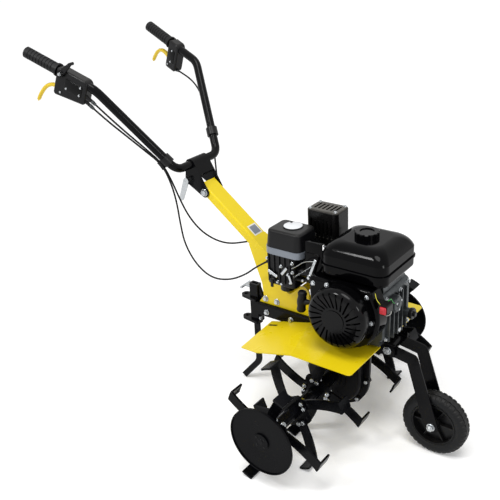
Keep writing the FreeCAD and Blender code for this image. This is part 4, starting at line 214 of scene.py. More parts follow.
# Black powder coat on tube and plate: a soft gloss that shows long pale highlights.
BLACK_COAT = Finish("black_powder_coat", "050507", "08080a", 0.18, 2.0, 0.02, specular=0.11, dust_and_sheen=0.01)
# Baked black enamel on pressed steel: smooth as glass, with mirror highlights.
BLACK_ENAMEL = Finish(
    "black_stove_enamel", "020203", "040405", 0.08, 9.0, 0.02, specular=0.09, rough_swing=0.02)
# Black paint on a sand casting: the sand leaves a coarse skin under the paint.
BLACK_CAST = Finish("black_painted_casting", "070709", "0c0c0e", 0.32, 1.6, 0.12, specular=0.13, dust_and_sheen=0.02)
# Blued and oiled spring steel, forged: dark with uneven pale patches.
TINE_STEEL = Finish(
    "forged_tine_steel", "050507", "0b0c0f", 0.22, 3.0, 0.08, specular=0.08, cloud_mm=30, rough_swing=0.08)
# Black enamel dipped on the pressed discs: flat and even, with hardly a shine.
DISC_ENAMEL = Finish("dipped_disc_enamel", "050507", "07080a", 0.3, 6.0, 0.02, specular=0.06)
# Zinc-plated steel: bright grey, a little milky.
ZINC = Finish(
    "zinc_plated_steel", "c9ccce", "a9adb0", 0.26, 1.5, 0.01, metallic=1.0, cloud_mm=15, rough_swing=0.08)
# Die-cast aluminium, shot blasted: pale matte grey with a fine grit and oily hollows.
DIE_CAST = Finish("die_cast_aluminium", "5e6264", "25282a", 0.4, 1.2, 0.1, metallic=0.8, cloud_mm=22)
# Heat-resistant black paint on a muffler: dull, a little grey.
HEAT_PAINT = Finish("heat_resistant_paint", "080808", "100f0e", 0.5, 1.2, 0.06, specular=0.2, cloud_mm=25)
# The same paint on the guard's sheet; the grey on its top is a painted reflection of the sky on the glossy
# sheet, laid on like dust on upward faces.
GUARD_PAINT = Finish(
    "guard_paint_with_painted_top_reflection", "060606", "0b0a0a", 0.28, 1.4, 0.03, specular=0.15, cloud_mm=30, dust_and_sheen=0.5,
    dust_and_sheen_colour="8a857c")
# Moulded polypropylene: black with a fine spark-eroded grain, drawn at 1 mm so that it shows.
BLACK_MOULD = Finish(
    "moulded_black_polypropylene", "08080a", "0c0c0e", 0.34, 1.0, 0.03, specular=0.22, dust_and_sheen=0.02)
# Moulded ABS: smooth black with a wide soft shine.
BLACK_ABS = Finish("smooth_black_abs", "040405", "060607", 0.16, 4.0, 0.01, specular=0.15, rough_swing=0.03)
# Silver lacquer on a moulding: an even pale grey with a faint sparkle.
SILVER = Finish(
    "silver_lacquered_moulding", "868c95", "6f757e", 0.33, 0.8, 0.01, metallic=0.5, rough_swing=0.04)
# Thin aluminium plate, brushed and left blank.
PLATE = Finish(
    "brushed_blank_plate", "eceef0", "dfe2e5", 0.34, 1.4, 0.02, metallic=0.25, stretch=(1.0, 12.0, 1.0))
# Red moulded nylon.
RED_NYLON = Finish("moulded_red_nylon", "c40f26", "a90b1f", 0.36, 1.0, 0.02, ior=1.53)
# Yellow moulded nylon: the levers' even warm yellow.
YELLOW_NYLON = Finish("moulded_yellow_nylon", "dec02e", "d2b222", 0.38, 1.0, 0.02, ior=1.53, specular=0.3)
# Soft rubber, moulded in a grained tool.
GRIP_RUBBER = Finish("moulded_grip_rubber", "08080a", "0c0c0e", 0.5, 0.9, 0.06, specular=0.22)
# Solid tyre rubber: dull black with a grey bloom.
TYRE_RUBBER = Finish("vulcanised_tyre_rubber", "0b0c0d", "121315", 0.5, 1.1, 0.08, specular=0.2, dust_and_sheen=0.03)
# PVC sheath of the Bowden cables.
SHEATH = Finish("extruded_pvc_sheath", "060607", "09090a", 0.35, 1.0, 0.005, specular=0.2)
# PVC insulation of the engine's thin wires, in its three colours.
WIRE_YELLOW = Finish("yellow_wire_insulation", "d8d23a", "c4bd2c", 0.4, 1.0, 0.005)
WIRE_GREEN = Finish("green_wire_insulation", "2f9a3c", "247c30", 0.4, 1.0, 0.005)
WIRE_WHITE = Finish("white_wire_insulation", "e4e4dc", "d2d2ca", 0.4, 1.0, 0.005)

# What the frame's nodes are made of. Those that aren't named here are moulded polypropylene.
NODE_FINISH: dict[Finish, tuple[str, ...]] = {
    BLACK_COAT: ("frame_channel", "hitch_bracket", "handlebar", "handlebar_clamp", "fork_plate_right",
                 "fork_plate_left", "fork_crosshead", "coulter"),
    BLACK_CAST: ("chain_case",),
    YELLOW_COAT: ("fender_right", "fender_left", "column_base", "steering_column"),
    ZINC: ("clamp_pivot_bolt", "fork_pivot_bolt", "cam_lever", "wheel_bolt", "tine_axle", "coulter_bolt"),
    DIE_CAST: ("crankcase", "cylinder"),
    BLACK_ENAMEL: ("valve_cover", "fan_housing", "fuel_tank"),
    BLACK_ABS: ("recoil_cover", "tank_cap"),
    SILVER: ("filter_base",),
    HEAT_PAINT: ("muffler",),
    GUARD_PAINT: ("muffler_guard",),
    GRIP_RUBBER: ("grip_right", "grip_left"),
    YELLOW_NYLON: ("control_lever_right", "control_lever_left"),
    TYRE_RUBBER: ("front_tyre",),
    TINE_STEEL: ("tine_reel_right", "tine_reel_left"),
    DISC_ENAMEL: ("crop_disc_right", "crop_disc_left"),
}


# ---- mesh tools
AXLE_BEHIND_MIDDLE = 246.3  # the frame's origin lies this far ahead of the tine axle
TINE_AXLE_Z = 151.494
CRANK: Spot = (90.0, 436.0)  # the crankshaft's x and z
SWEEP_SIDES = 20
WASHER_THICKNESS = 1.5
SHOULDER = 0.78  # where a head's bevel starts, as a share of its height
BEVELLED = 0.86  # a head's top, as a share of its width
STEM_SHARE = 0.29  # half a stem's diameter, as a share of its nut's width


def at(x: float, y: float, z: float) -> Vector:
    """Return the frame's point for millimetres ahead of the tine axle, to the left and above the ground."""
    return Vector(((x + AXLE_BEHIND_MIDDLE) * MM, y * MM, z * MM))


def circle(sides: int) -> list[Spot]:
    """Return the corners of a regular shape on a circle with radius 1."""
    turns = [2 * math.pi * k / sides for k in range(sides)]
    return [(math.cos(turn), math.sin(turn)) for turn in turns]


def swung(x: float, z: float, degrees: float) -> Spot:
    """Return where a spot (x, z) lies once it has turned about Y, from up towards ahead."""
    turn = math.radians(degrees)
    return x * math.cos(turn) + z * math.sin(turn), z * math.cos(turn) - x * math.sin(turn)


def tilted(degrees: float, axis: str = "Y") -> Matrix:
    """Return the turn about one of the frame's axes."""
    return Matrix.Rotation(math.radians(degrees), 4, axis)


def add_object(name: str, data: Any) -> bpy.types.Object:
    """Put new data into the scene.

    Args:
        name: the object's name.
        data: its mesh, curve, lamp or camera.

    Returns:
        The object.
    """
    thing = bpy.data.objects.new(name, data)
    bpy.context.scene.collection.objects.link(thing)
    return thing


def bend(control: Sequence[Vector], steps: int) -> list[Vector]:
    """Draw the smooth bend of a row of control points.

    Args:
        control: its ends, with the points that pull it between them.
        steps: how many lengths it has.

    Returns:
        The points along it.
    """
    line = []
    for k in range(steps + 1):
        row = list(control)
        while len(row) > 1:
            row = [low.lerp(high, k / steps) for low, high in zip(row, row[1:])]
        line.append(row[0])
    return line


@dataclass
class Shaper:
    """Gathers the faces of one piece and gives it its finish and its body.

    Sizes and places are in millimetres, with X from the tine axle.
    """

    name: str
    finish: Finish = ZINC
    body: str = "frame"
    mesh: bmesh.types.BMesh = field(default_factory=bmesh.new)

    def skin(self, rings: Sequence[Sequence[Sequence[float]]], hoop: bool = False) -> None:
        """Join rings of points side by side.

        Args:
            rings: the points of each ring, as many in each.
            hoop: join the last ring to the first, and don't close the ends.
        """
        rows = [[self.mesh.verts.new(at(*point)) for point in ring] for ring in rings]
        followers = [*rows[1:], rows[0]] if hoop else rows[1:]
        for low, high in zip(rows, followers):
            for k, start in enumerate(low):
                nxt = (k + 1) % len(low)
                self.mesh.faces.new((start, low[nxt], high[nxt], high[k]))
        if not hoop:
            self.mesh.faces.new(list(reversed(rows[0])))
            self.mesh.faces.new(rows[-1])

    def lathe(self, profile: Sequence[Spot], place: Sequence[float], axis: Sequence[float],
              sides: int = 32, hoop: bool = False) -> None:
        """Turn a profile about an axis.

        Args:
            profile: its points as (radius, height), from one end to the other.
            place: where height 0 is.
            axis: the direction of the height.
            sides: faces round the axis.
            hoop: join the profile's ends, for a ring.
        """
        turn = Vector(axis).normalized().to_track_quat("Z", "Y").to_matrix()
        rings = []
        for radius, height in profile:
            rings.append([Vector(place) + turn @ Vector((x * radius, y * radius, height))
                          for x, y in circle(sides)])
        self.skin(rings, hoop)

    def sweep(self, line: Sequence[Vector], radii: Sequence[float], across: Vector, squash: float) -> None:
        """Sweep an oval section along a line.

        Args:
            line: the middle points.
            radii: half the section's width at each point.
            across: direction of the section's width.
            squash: the section's thickness as a share of its width.
        """
        rings = []
        for k, point in enumerate(line):
            ahead = (line[min(k + 1, len(line) - 1)] - line[max(k - 1, 0)]).normalized()
            wide = (across - ahead * across.dot(ahead)).normalized()
            thin = ahead.cross(wide) * squash
            rings.append([point + (wide * x + thin * y) * radii[k] for x, y in circle(SWEEP_SIDES)])
        self.skin(rings)

    def bolt(self, place: Sequence[float], axis: Sequence[float], across: float, height: float,
             washer: float = 0.0, stem: float = 0.0, head: Head = Head.HEX) -> None:
        """Add a fastener's head, with its washer and the end of its stem.

        Args:
            place: its seat.
            axis: outward direction.
            across: width over the head.
            height: the head's height.
            washer: the washer's diameter, or 0.
            stem: how far a threaded end stands out of the head.
            head: its shape.
        """
        base = 0.0
        if washer:
            base = WASHER_THICKNESS
            self.lathe([(washer / 2, 0), (washer / 2, base - 0.4), (washer / 2 - 0.5, base)], place, axis, 24)
        radius = across / 2 / (math.cos(math.pi / 6) if head is Head.HEX else 1)
        top = base + height
        self.lathe([(radius, base), (radius, base + height * SHOULDER), (radius * BEVELLED, top)], place,
                   axis, head.value)
        if stem:
            grip = across * STEM_SHARE
            self.lathe([(grip, top - 0.5), (grip, top + stem - 0.8), (grip - 0.8, top + stem)], place, axis,
                       14)

    def pair(self, x: float, y: float, z: float, **shape: Any) -> None:
        """Add the same fastener on the left and on the right, facing out."""
        for side in Side:
            self.bolt((x, side.value * y, z), side.out, **shape)

    def block(self, middle: Sequence[float], size: Point, turn: Matrix | None = None,
              edge: float = 1.0) -> None:
        """Add a moulded block with rounded edges.

        Args:
            middle: its centre.
            size: length, width and height.
            turn: its rotation.
            edge: the rounding of its edges.
        """
        stretch = Matrix.Diagonal((*size, 1))
        place = Matrix.Translation(at(*middle)) @ (turn or Matrix.Identity(4)) @ stretch
        corners = bmesh.ops.create_cube(self.mesh, size=MM, matrix=place)["verts"]
        edges = dict.fromkeys(line for corner in corners for line in corner.link_edges)
        bmesh.ops.bevel(self.mesh, geom=list(edges), offset=edge * MM, segments=3, profile=0.5,
                        affect="EDGES")

    def close(self, smooth_deg: float = 32.0, replaced: Sequence[str] = ()) -> None:
        """Finish the piece: link it, dress it and put it on its body.

        Args:
            smooth_deg: edges sharper than this stay sharp.
            replaced: nodes that this piece stands for.
        """
        bmesh.ops.recalc_face_normals(self.mesh, faces=self.mesh.faces)
        data = bpy.data.meshes.new(self.name)
        self.mesh.to_mesh(data)
        self.mesh.free()
        piece = add_object(self.name, data)
        data.materials.append(self.finish.material())
        data.shade_smooth()
        data.set_sharp_from_angle(angle=math.radians(smooth_deg))
        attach(piece, self.body)
        if replaced:
            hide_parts(*replaced)
        log.info("%s: %d faces on %s", self.name, len(data.polygons), self.body)


def smooth_line(name: str, points: Sequence[Point], diameter: float, finish: Finish) -> bpy.types.Object:
    """Make one round smooth curve.

    Args:
        name: the object's name.
        points: the route in millimetres, with X from the tine axle.
        diameter: in millimetres.
        finish: what it is made of.

    Returns:
        The curve object.
    """
    data = bpy.data.curves.new(name, "CURVE")
    data.dimensions = "3D"
    data.bevel_depth = diameter * MM / 2
    data.bevel_resolution = 4
    data.resolution_u = 8
    spline = data.splines.new("NURBS")
    spline.points.add(len(points) - 1)
    for control, point in zip(spline.points, points):
        control.co = (*at(*point), 1)
    spline.order_u = 3
    spline.use_endpoint_u = True
    data.use_fill_caps = True
    data.materials.append(finish.material())
    return add_object(name, data)


def as_mesh(curve: bpy.types.Object, bevel: float) -> bpy.types.Mesh:
    """Return a curve's shape at a bevel depth in metres: its middle line at 0."""
    curve.data.bevel_depth = bevel
    return bpy.data.meshes.new_from_object(curve.evaluated_get(bpy.context.evaluated_depsgraph_get()))


def strand(name: str, points: Sequence[Point], diameter: float, finish: Finish) -> None:
    """Make a wire, spring or hose that is fixed to the frame at both ends."""
    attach(smooth_line(name, points, diameter, finish), "frame")


# ---- sub-assemblies
@dataclass
class Studio:
    """The pale floor, the soft light and the camera."""

    eye: Point = (1.2365, -1.6447, 1.4394)
    heading_deg: float = 38.02
    drop_deg: float = 24.54
    roll_deg: float = -3.23
    lens_mm: float = 53.93
    shift: Spot = (-0.0086, -0.0012)
    sky: float = 0.5
    floor_half: float = 14.0
    floor_drop: float = 0.0005
    floor_glow: float = 0.12

    def camera(self) -> None:
        """Place the camera where the view is taken from."""
        az, el, roll = (math.radians(q) for q in (self.heading_deg, self.drop_deg, self.roll_deg))
        right = Vector((math.cos(az), math.sin(az), 0))
        ahead = Vector((-math.sin(az) * math.cos(el), math.cos(az) * math.cos(el), -math.sin(el)))
        turn = Matrix((right, right.cross(ahead), -ahead)).transposed() @ Matrix.Rotation(roll, 3, "Z")
        data = bpy.data.cameras.new("view")
        data.lens = self.lens_mm
        data.shift_x, data.shift_y = self.shift
        data.clip_end = 50
        camera = add_object("view", data)
        camera.matrix_world = Matrix.Translation(self.eye) @ turn.to_4x4()
        bpy.context.scene.camera = camera

    def light(self, data: bpy.types.Light, place: Point, aim: Point, **settings: Any) -> None:
        """Hang a lamp at a place and aim it at a point.

        Args:
            data: the lamp.
            place: where it hangs, in metres.
            aim: the point that it faces.
            settings: its energy and its form.
        """
        for setting, value in settings.items():
            setattr(data, setting, value)
        lamp = add_object(data.name, data)
        lamp.location = place
        lamp.rotation_euler = (Vector(aim) - Vector(place)).to_track_quat("-Z", "Y").to_euler()

    def world(self) -> None:
        """A plain pale sky that is white where the camera or a reflection sees it."""
        world = bpy.data.worlds.new("sky")
        bpy.context.scene.world = world
        tree = emptied(world)
        ray = add_node(tree, "ShaderNodeLightPath")
        seen = ray.outputs["Is Camera Ray"]
        for kind in ("Is Glossy Ray", "Is Transmission Ray"):
            either = add_node(tree, "ShaderNodeMath", {0: seen, 1: ray.outputs[kind]}, operation="MAXIMUM")
            seen = either.outputs[0]
        level = add_node(tree, "ShaderNodeMapRange", {"Value": seen, "To Min": self.sky})
        light = add_node(tree, "ShaderNodeBackground", {"Color": (1, 1, 1, 1), "Strength": level.outputs[0]})
        add_node(tree, "ShaderNodeOutputWorld", {"Surface": light.outputs[0]})

    def floor(self) -> None:
        """A plain pale floor that keeps the machine's shadow and glows a little to the camera alone."""
        mesh = bmesh.new()
        bmesh.ops.create_grid(mesh, x_segments=1, y_segments=1, size=self.floor_half)
        data = bpy.data.meshes.new("floor")
        mesh.to_mesh(data)
        mesh.free()
        floor = add_object("floor", data)
        floor.location = (0, 0, -self.floor_drop)
        material = bpy.data.materials.new("matte_white_floor")
        tree = emptied(material)
        ray = add_node(tree, "ShaderNodeLightPath")
        lift = add_node(tree, "ShaderNodeMath", {0: ray.outputs["Is Camera Ray"], 1: self.floor_glow},
                        operation="MULTIPLY")
        shader = add_node(tree, "ShaderNodeBsdfDiffuse", {"Color": linear("f8f8f8")})
        glow = add_node(tree, "ShaderNodeEmission", {"Color": (1, 1, 1, 1), "Strength": lift.outputs[0]})
        both = add_node(tree, "ShaderNodeAddShader", {0: shader.outputs[0], 1: glow.outputs[0]})
        add_node(tree, "ShaderNodeOutputMaterial", {"Surface": both.outputs[0]})
        data.materials.append(material)

    def build(self) -> None:
        """Make the whole studio."""
        bpy.context.scene.view_settings.view_transform = "Standard"
        self.camera()
        self.world()
        self.floor()
        lights = bpy.data.lights
        self.light(lights.new("daylight", "SUN"), (0.25, -0.45, 1.8), (0, 0, 0), energy=1.55,
                   angle=math.radians(30))
        self.light(lights.new("key", "AREA"), (-0.9, -2.2, 2.7), (0, 0, 0.5), energy=34, size=0.55)
        self.light(lights.new("fill", "AREA"), (2.8, -0.9, 1.9), (0, 0, 0.4), energy=14, size=0.6)


@dataclass(frozen=True)
class Cable:
    """A Bowden cable: its real length in metres and its route in millimetres, with X from the tine axle."""

    length: float
    route: tuple[Point, ...]


CABLES = {
    "clutch_cable": Cable(0.937, (
        (-672, -226, 950), (-632, -208, 906), (-598, -178, 856), (-565, -147, 808), (-533, -117, 759),
        (-514, -104, 704), (-504, -88, 642), (-492, -64, 572), (-462, -34, 512), (-412, 4, 476),
        (-352, 40, 484), (-290, 66, 502), (-228, 88, 496), (-172, 104, 460), (-128, 114, 416))),
    "throttle_cable": Cable(0.917, (
        (-680, -228, 938), (-642, -216, 903), (-600, -188, 856), (-561, -156, 806), (-529, -123, 759),
        (-510, -112, 700), (-506, -100, 634), (-510, -90, 562), (-503, -86, 490), (-466, -80, 424),
        (-410, -75, 390), (-342, -71, 400), (-280, -70, 434), (-236, -71, 472), (-194, -73, 500))),
    "reverse_cable": Cable(0.946, (
        (-765, 236, 950), (-716, 232, 934), (-664, 216, 908), (-620, 190, 872), (-580, 158, 828),
        (-547, 132, 784), (-520, 108, 735), (-497, 84, 682), (-474, 60, 628), (-434, 48, 574),
        (-384, 56, 524), (-322, 74, 500), (-262, 94, 484), (-208, 108, 450), (-162, 118, 412),
        (-112, 124, 378))),
}


@dataclass
class ControlCables:
    """The three Bowden cables, from the handlebar's controls to the engine and the drive.

    Each follows the handlebar above the clamp's pivot and the frame below it.
    """

    diameter: float = 5.5
    leaves_bar: Point = (-520.0, 0.0, 745.0)
    joins_frame: Point = (-470.0, 0.0, 545.0)

    def lay(self, name: str, cable: Cable) -> None:
        """Lay one cable along its route.

        Args:
            name: the node it stands for.
            cable: its length and route.
        """
        curve = smooth_line(name + "_route", cable.route, self.diameter, SHEATH)
        data = as_mesh(curve, self.diameter * MM / 2)
        line = as_mesh(curve, 0)
        bpy.data.meshes.remove(line)
        bpy.data.objects.remove(curve)
        data.name = name + "_sheath"
        data.shade_smooth()
        piece = add_object(name + "_sheath", data)
        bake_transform(piece)
        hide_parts(name)

    def build(self) -> None:
        """Lay the clutch, throttle and reverse cables."""
        for name, cable in CABLES.items():
            self.lay(name, cable)


@dataclass
class Starter:
    """Recoil starter: cover screws and the parked rope handle."""

    ear_circle: float = 89.0
    ear_y: float = -132.0
    housing_y: float = -122.0
    handle: Point = (-61.0, -95.0, 417.0)

    def screws(self) -> None:
        """Three flanged screws in the cover's ears and two in the fan housing's upper corners."""
        screws = Shaper("starter_screws")
        places = [(x, self.housing_y, 502) for x in (-4, 160)]
        for k in range(3):
            x, z = swung(self.ear_circle, 0, 120 * k)
            places.append((CRANK[0] + x, self.ear_y, CRANK[1] + z))
        for place in places:
            screws.bolt(place, Side.RIGHT.out, across=9, height=4.5, washer=14)
        screws.close()

    def rope_handle(self) -> None:
        """T-handle with two finger waists, held against the rope's outlet."""
        grip = Shaper("starter_handle", GRIP_RUBBER)
        x, y, z = self.handle
        half = [(14, 5), (12, 16), (13.5, 27), (11, 32), (6, 34)]
        mirrored = [(radius, -height) for radius, height in reversed(half)]
        grip.lathe(mirrored + half, (x, y, z), (0.1, 0, 1), 24)
        grip.lathe([(9, 0), (8, 8), (6, 16), (5, 28)], (x + 10, y, z), (1, 0, 0.25), 20)
        grip.close(50)
        eye = Shaper("starter_rope_eye")
        eye.lathe([(9, 0), (9, 3), (6.5, 5)], (-20, y, z + 9), (-1, 0, 0), 24)
        eye.close()

    def build(self) -> None:
        """Make the starter's small parts."""
        self.screws()
        self.rope_handle()


@dataclass
class IntakeDetails:
    """Blank plate on the filter, the carburettor's small parts, governor rod and fuel hose."""

    face_y: float = -94.0
    plate: Point = (-125.0, -34.0, 614.0)
    tap: Spot = (-158.0, 458.0)
    coil_turns: int = 12
    coil_radius: float = 3.2

    def filter_plate(self) -> None:
        """Round blank plate in the filter cover's panel, and the screw beside it."""
        x, y, z = self.plate
        plate = Shaper("filter_blank_plate", PLATE)
        plate.lathe([(27, -0.3), (27, 0.5), (26.3, 0.9)], (x, y, z), UP, 48)
        plate.close()
        screw = Shaper("filter_plate_screw", BLACK_MOULD)
        screw.lathe([(3.4, 0), (3.4, 1.4), (2.4, 2.2)], (x - 16, y + 16, z + 0.9), UP, 20)
        screw.close()

    def levers(self) -> None:
        """Choke lever, fuel tap, idle screws and the float bowl's nut."""
        out = Side.RIGHT.out
        bright = Shaper("carburettor_levers")
        for x, z, turn, size in ((-158, 481, 25, (34, 2, 9)), (-118, 497, -52, (30, 2, 8)),
                                 (-98, 476, 70, (26, 2, 7))):
            bright.block((x, self.face_y - 3, z), size, tilted(turn), 0.8)
        for x, z in ((-166, 479), (-144, 456), (-107, 488), (-92, 498), (-99, 464), (-131, 508), (-178, 524),
                     (-92, 526)):
            bright.bolt((x, self.face_y + 2, z), out, across=7, height=4, washer=10, head=Head.ROUND)
        bright.lathe([(2, 0), (2, 10), (3.6, 10), (3.6, 14)], (-124, self.face_y - 1, 462),
                     (0.2, -1, -0.1), 16)
        bright.close()
        x, z = self.tap
        tap = Shaper("fuel_tap", BLACK_MOULD)
        tap.lathe([(9, 0), (9, 5), (7.5, 6.5)], (x, self.face_y, z), out, 24)
        tap.block((x, self.face_y - 8, z - 6), (9, 5, 24), None, 1.6)
        tap.close()
        bowl = Shaper("float_bowl_nut")
        bowl.bolt((-135, -56, 420), (0, 0, -1), across=12, height=6, washer=17)
        bowl.close()

    def governor(self) -> None:
        """Flat arm, thin rod and spring between the governor shaft and the throttle."""
        arm = Shaper("governor_arm")
        arm.block((-28, -88, 524), (8, 2.4, 64), tilted(20), 0.9)
        arm.bolt((-38, -89, 496), Side.RIGHT.out, across=9, height=5, washer=13)
        arm.close()
        strand("governor_rod", [(-20, -90, 548), (-48, -92, 546), (-78, -94, 520), (-92, -96, 512)], 1.8,
               ZINC)
        steps = self.coil_turns * 8
        coil = []
        for k in range(steps + 1):
            angle = 2 * math.pi * self.coil_turns * k / steps
            reach = Vector((0.35 * math.cos(angle), math.sin(angle), 0.9 * math.cos(angle)))
            middle = Vector((-24, -92, 536)).lerp(Vector((-84, -96, 488)), k / steps)
            coil.append(middle + reach * self.coil_radius)
        strand("governor_spring", coil, 1.1, ZINC)

    def fuel_hose(self) -> None:
        """Short hose from the tank's outlet to the carburettor, with its clip."""
        strand("fuel_hose", [(4, -78, 524), (-6, -84, 508), (-30, -86, 488), (-62, -86, 478),
                             (-88, -82, 474)], 8, SHEATH)
        clips = Shaper("fuel_hose_clips")
        clips.lathe([(5.2, -3), (5.2, 3)], (-60, -86, 478.5), (1, 0, 0.2), 24)
        clips.close()

    def build(self) -> None:
        """Make the intake's small parts."""
        self.filter_plate()
        self.levers()
        self.governor()
        self.fuel_hose()


@dataclass
class EngineFront:
    """Red rocker with its wires, oil plug, boss cover and case screws."""

    switch: Point = (217.0, -139.5, 488.0)
    boss: Spot = (-28.0, 452.0)
    boss_circle: float = 15.0
    case_x: float = 185.5

    def rocker(self) -> None:
        """Rocker of the engine switch, with a ridge across it."""
        x, y, z = self.switch
        rocker = Shaper("switch_rocker", RED_NYLON)
        rocker.block((x, y, z), (18, 7, 20), None, 2.6)
        rocker.block((x, y - 3.5, z + 4), (14, 3, 8), None, 1.2)
        rocker.close()

    def wires(self) -> None:
        """Thin insulated wires from the switch to the coil and the oil sensor, clipped to the case."""
        strand("wire_yellow", [(184, -120, 520), (188, -123, 508), (197, -124, 498), (205, -122, 490)], 1.8,
               WIRE_YELLOW)
        strand("wire_green", [(206, -110, 492), (214, -96, 499), (210, -80, 494), (206, -66, 480),
                              (204, -56, 468), (203, -44, 462)], 2.2, WIRE_GREEN)
        strand("wire_green_low", [(206, -110, 484), (213, -94, 482), (210, -82, 468), (204, -72, 456)], 2,
               WIRE_GREEN)
        strand("wire_white", [(224, -110, 480), (224, -104, 470), (216, -98, 456), (204, -92, 446),
                              (190, -82, 440)], 2, WIRE_WHITE)

    def case(self) -> None:
        """Oil filler plug, boss cover and the screws of the case's front."""
        plug = Shaper("oil_filler_plug", BLACK_MOULD)
        plug.lathe([(16, 0), (17, 2), (17, 9), (15.5, 11), (8, 11), (8, 16), (6.5, 17.5)], (203.5, 52, 386),
                   AHEAD, 12)
        plug.close(20)
        y, z = self.boss
        cover = Shaper("front_boss_cover", DIE_CAST)
        cover.lathe([(22, 0), (22, 3), (20, 5), (9, 5), (8, 8), (6, 9)], (201.5, y, z), AHEAD, 40)
        cover.close()
        screws = Shaper("case_screws")
        for k in range(3):
            out, rise = swung(self.boss_circle, 0, -30 - 120 * k)
            screws.bolt((206, y + out, z + rise), AHEAD, across=6, height=3.5)
        for y, z in ((-60, 352), (66, 352), (-60, 476), (66, 476), (20, 470)):
            screws.bolt((self.case_x, y, z), AHEAD, across=9, height=5, washer=13)
        screws.bolt((self.case_x, 10, 350), AHEAD, across=14, height=7, washer=19)
        screws.close()

    def build(self) -> None:
        """Make the engine's front."""
        self.rocker()
        self.wires()
        self.case()


@dataclass
class EngineTop:
    """Screws of the engine's upper covers, spark plug, sheet baffles, a dark sheet of painted shade in the
    muffler's guard and the fenders' slot plugs.
    """

    slant_deg: float = 25.0
    layshaft: Spot = (-42.0, 372.0)
    cover_y: float = 136.5
    plug_axis: Point = (-0.5, -0.8, 0.3)
    # the dark sheet of painted shade inside the muffler's guard: its middle and width
    shade_sheet: Point = (-65.5, 57.0, 553.0)
    shade_sheet_width: float = 66.0

    def along(self, reach: float, rise: float, y: float) -> Vector:
        """Return the point at a reach along the slanting cylinder and a rise above its middle line."""
        x, z = swung(-reach, rise, self.slant_deg)
        return Vector((CRANK[0] + x, y, CRANK[1] + z))

    def screws(self) -> None:
        """Screws of the guard's top, the valve cover's face and the drive cover's rim."""
        screws = Shaper("engine_top_screws")
        for x in (-107, -24):
            for y in (30, 84):
                screws.bolt((x, y, 650), UP, across=7, height=3, washer=10, head=Head.ROUND)
        outward = self.along(1, 0, 0) - self.along(0, 0, 0)
        for rise in (-26, 26):
            for y in (-24, 34):
                screws.bolt(self.along(179, rise, y), outward, across=8, height=4, washer=11)
        for middle, radius, start, steps in ((CRANK, 51, 100, 4), (self.layshaft, 43, -80, 3)):
            for k in range(steps):
                x, z = swung(radius, 0, start - 60 * k)
                place = (middle[0] + x, self.cover_y, middle[1] + z)
                screws.bolt(place, Side.LEFT.out, across=8, height=4, washer=12)
        screws.close()

    def spark_plug(self) -> None:
        """Spark plug and its rubber boot."""
        plug = Shaper("spark_plug", PLATE)
        plug.bolt(self.along(164, 20, -38), self.plug_axis, across=18, height=8)
        plug.close()
        boot = Shaper("spark_plug_boot", GRIP_RUBBER)
        boot.lathe([(7, 0), (8, 3), (7, 14), (7.5, 24), (5, 30)], self.along(166, 22, -44),
                   self.plug_axis, 24)
        boot.close(50)

    def grommets(self) -> None:
        """Rubber plug in the slot of each fender."""
        plugs = Shaper("fender_slot_grommets", GRIP_RUBBER)
        for side in Side:
            fall = tilted(-14.5) @ tilted(-4 * side.value, "X")
            plugs.block((-188, side.value * 66, 283.3), (32.4, 8.6, 2.4), fall)
        plugs.close()

    def baffles(self) -> None:
        """Sheet that leads the fan's air along the cylinder, its top lip widened as painted shade in the gap
        under the tank, and a dark sheet under the muffler that puts painted shade in the guard's slots.
        """
        baffle = Shaper("cylinder_air_baffle", BLACK_ENAMEL)
        # the upright sheets lead the air; the flat top lip is drawn wide to close the gap under the tank with
        # a dark sheet, painted shade
        for middle, size in (((-31, -73.5, 532), (56, 1.6, 128)), ((-31, -66, 595), (56, 16, 1.6)),
                             ((-58, -58, 512), (1.6, 30, 90))):
            baffle.block(middle, size, None, 0.7)
        for z in (492, 562):
            baffle.block((-33, -75, z), (44, 2.2, 3.2))
        baffle.close()
        # a dark floor and far wall inside the muffler's guard: painted shade seen through the guard's slots
        shade_sheet = Shaper("guard_shade_sheet", HEAT_PAINT)
        x, middle, z = self.shade_sheet
        shade_sheet.block((x, middle, z), (93, self.shade_sheet_width, 1.4), None, 0.6)
        for y in (middle - 32, middle + 32):
            shade_sheet.block((x, y, z + 5), (93, 1.4, 12), None, 0.6)
        shade_sheet.close()

    def build(self) -> None:
        """Make the top's small parts."""
        self.screws()
        self.spark_plug()
        self.baffles()
        self.grommets()


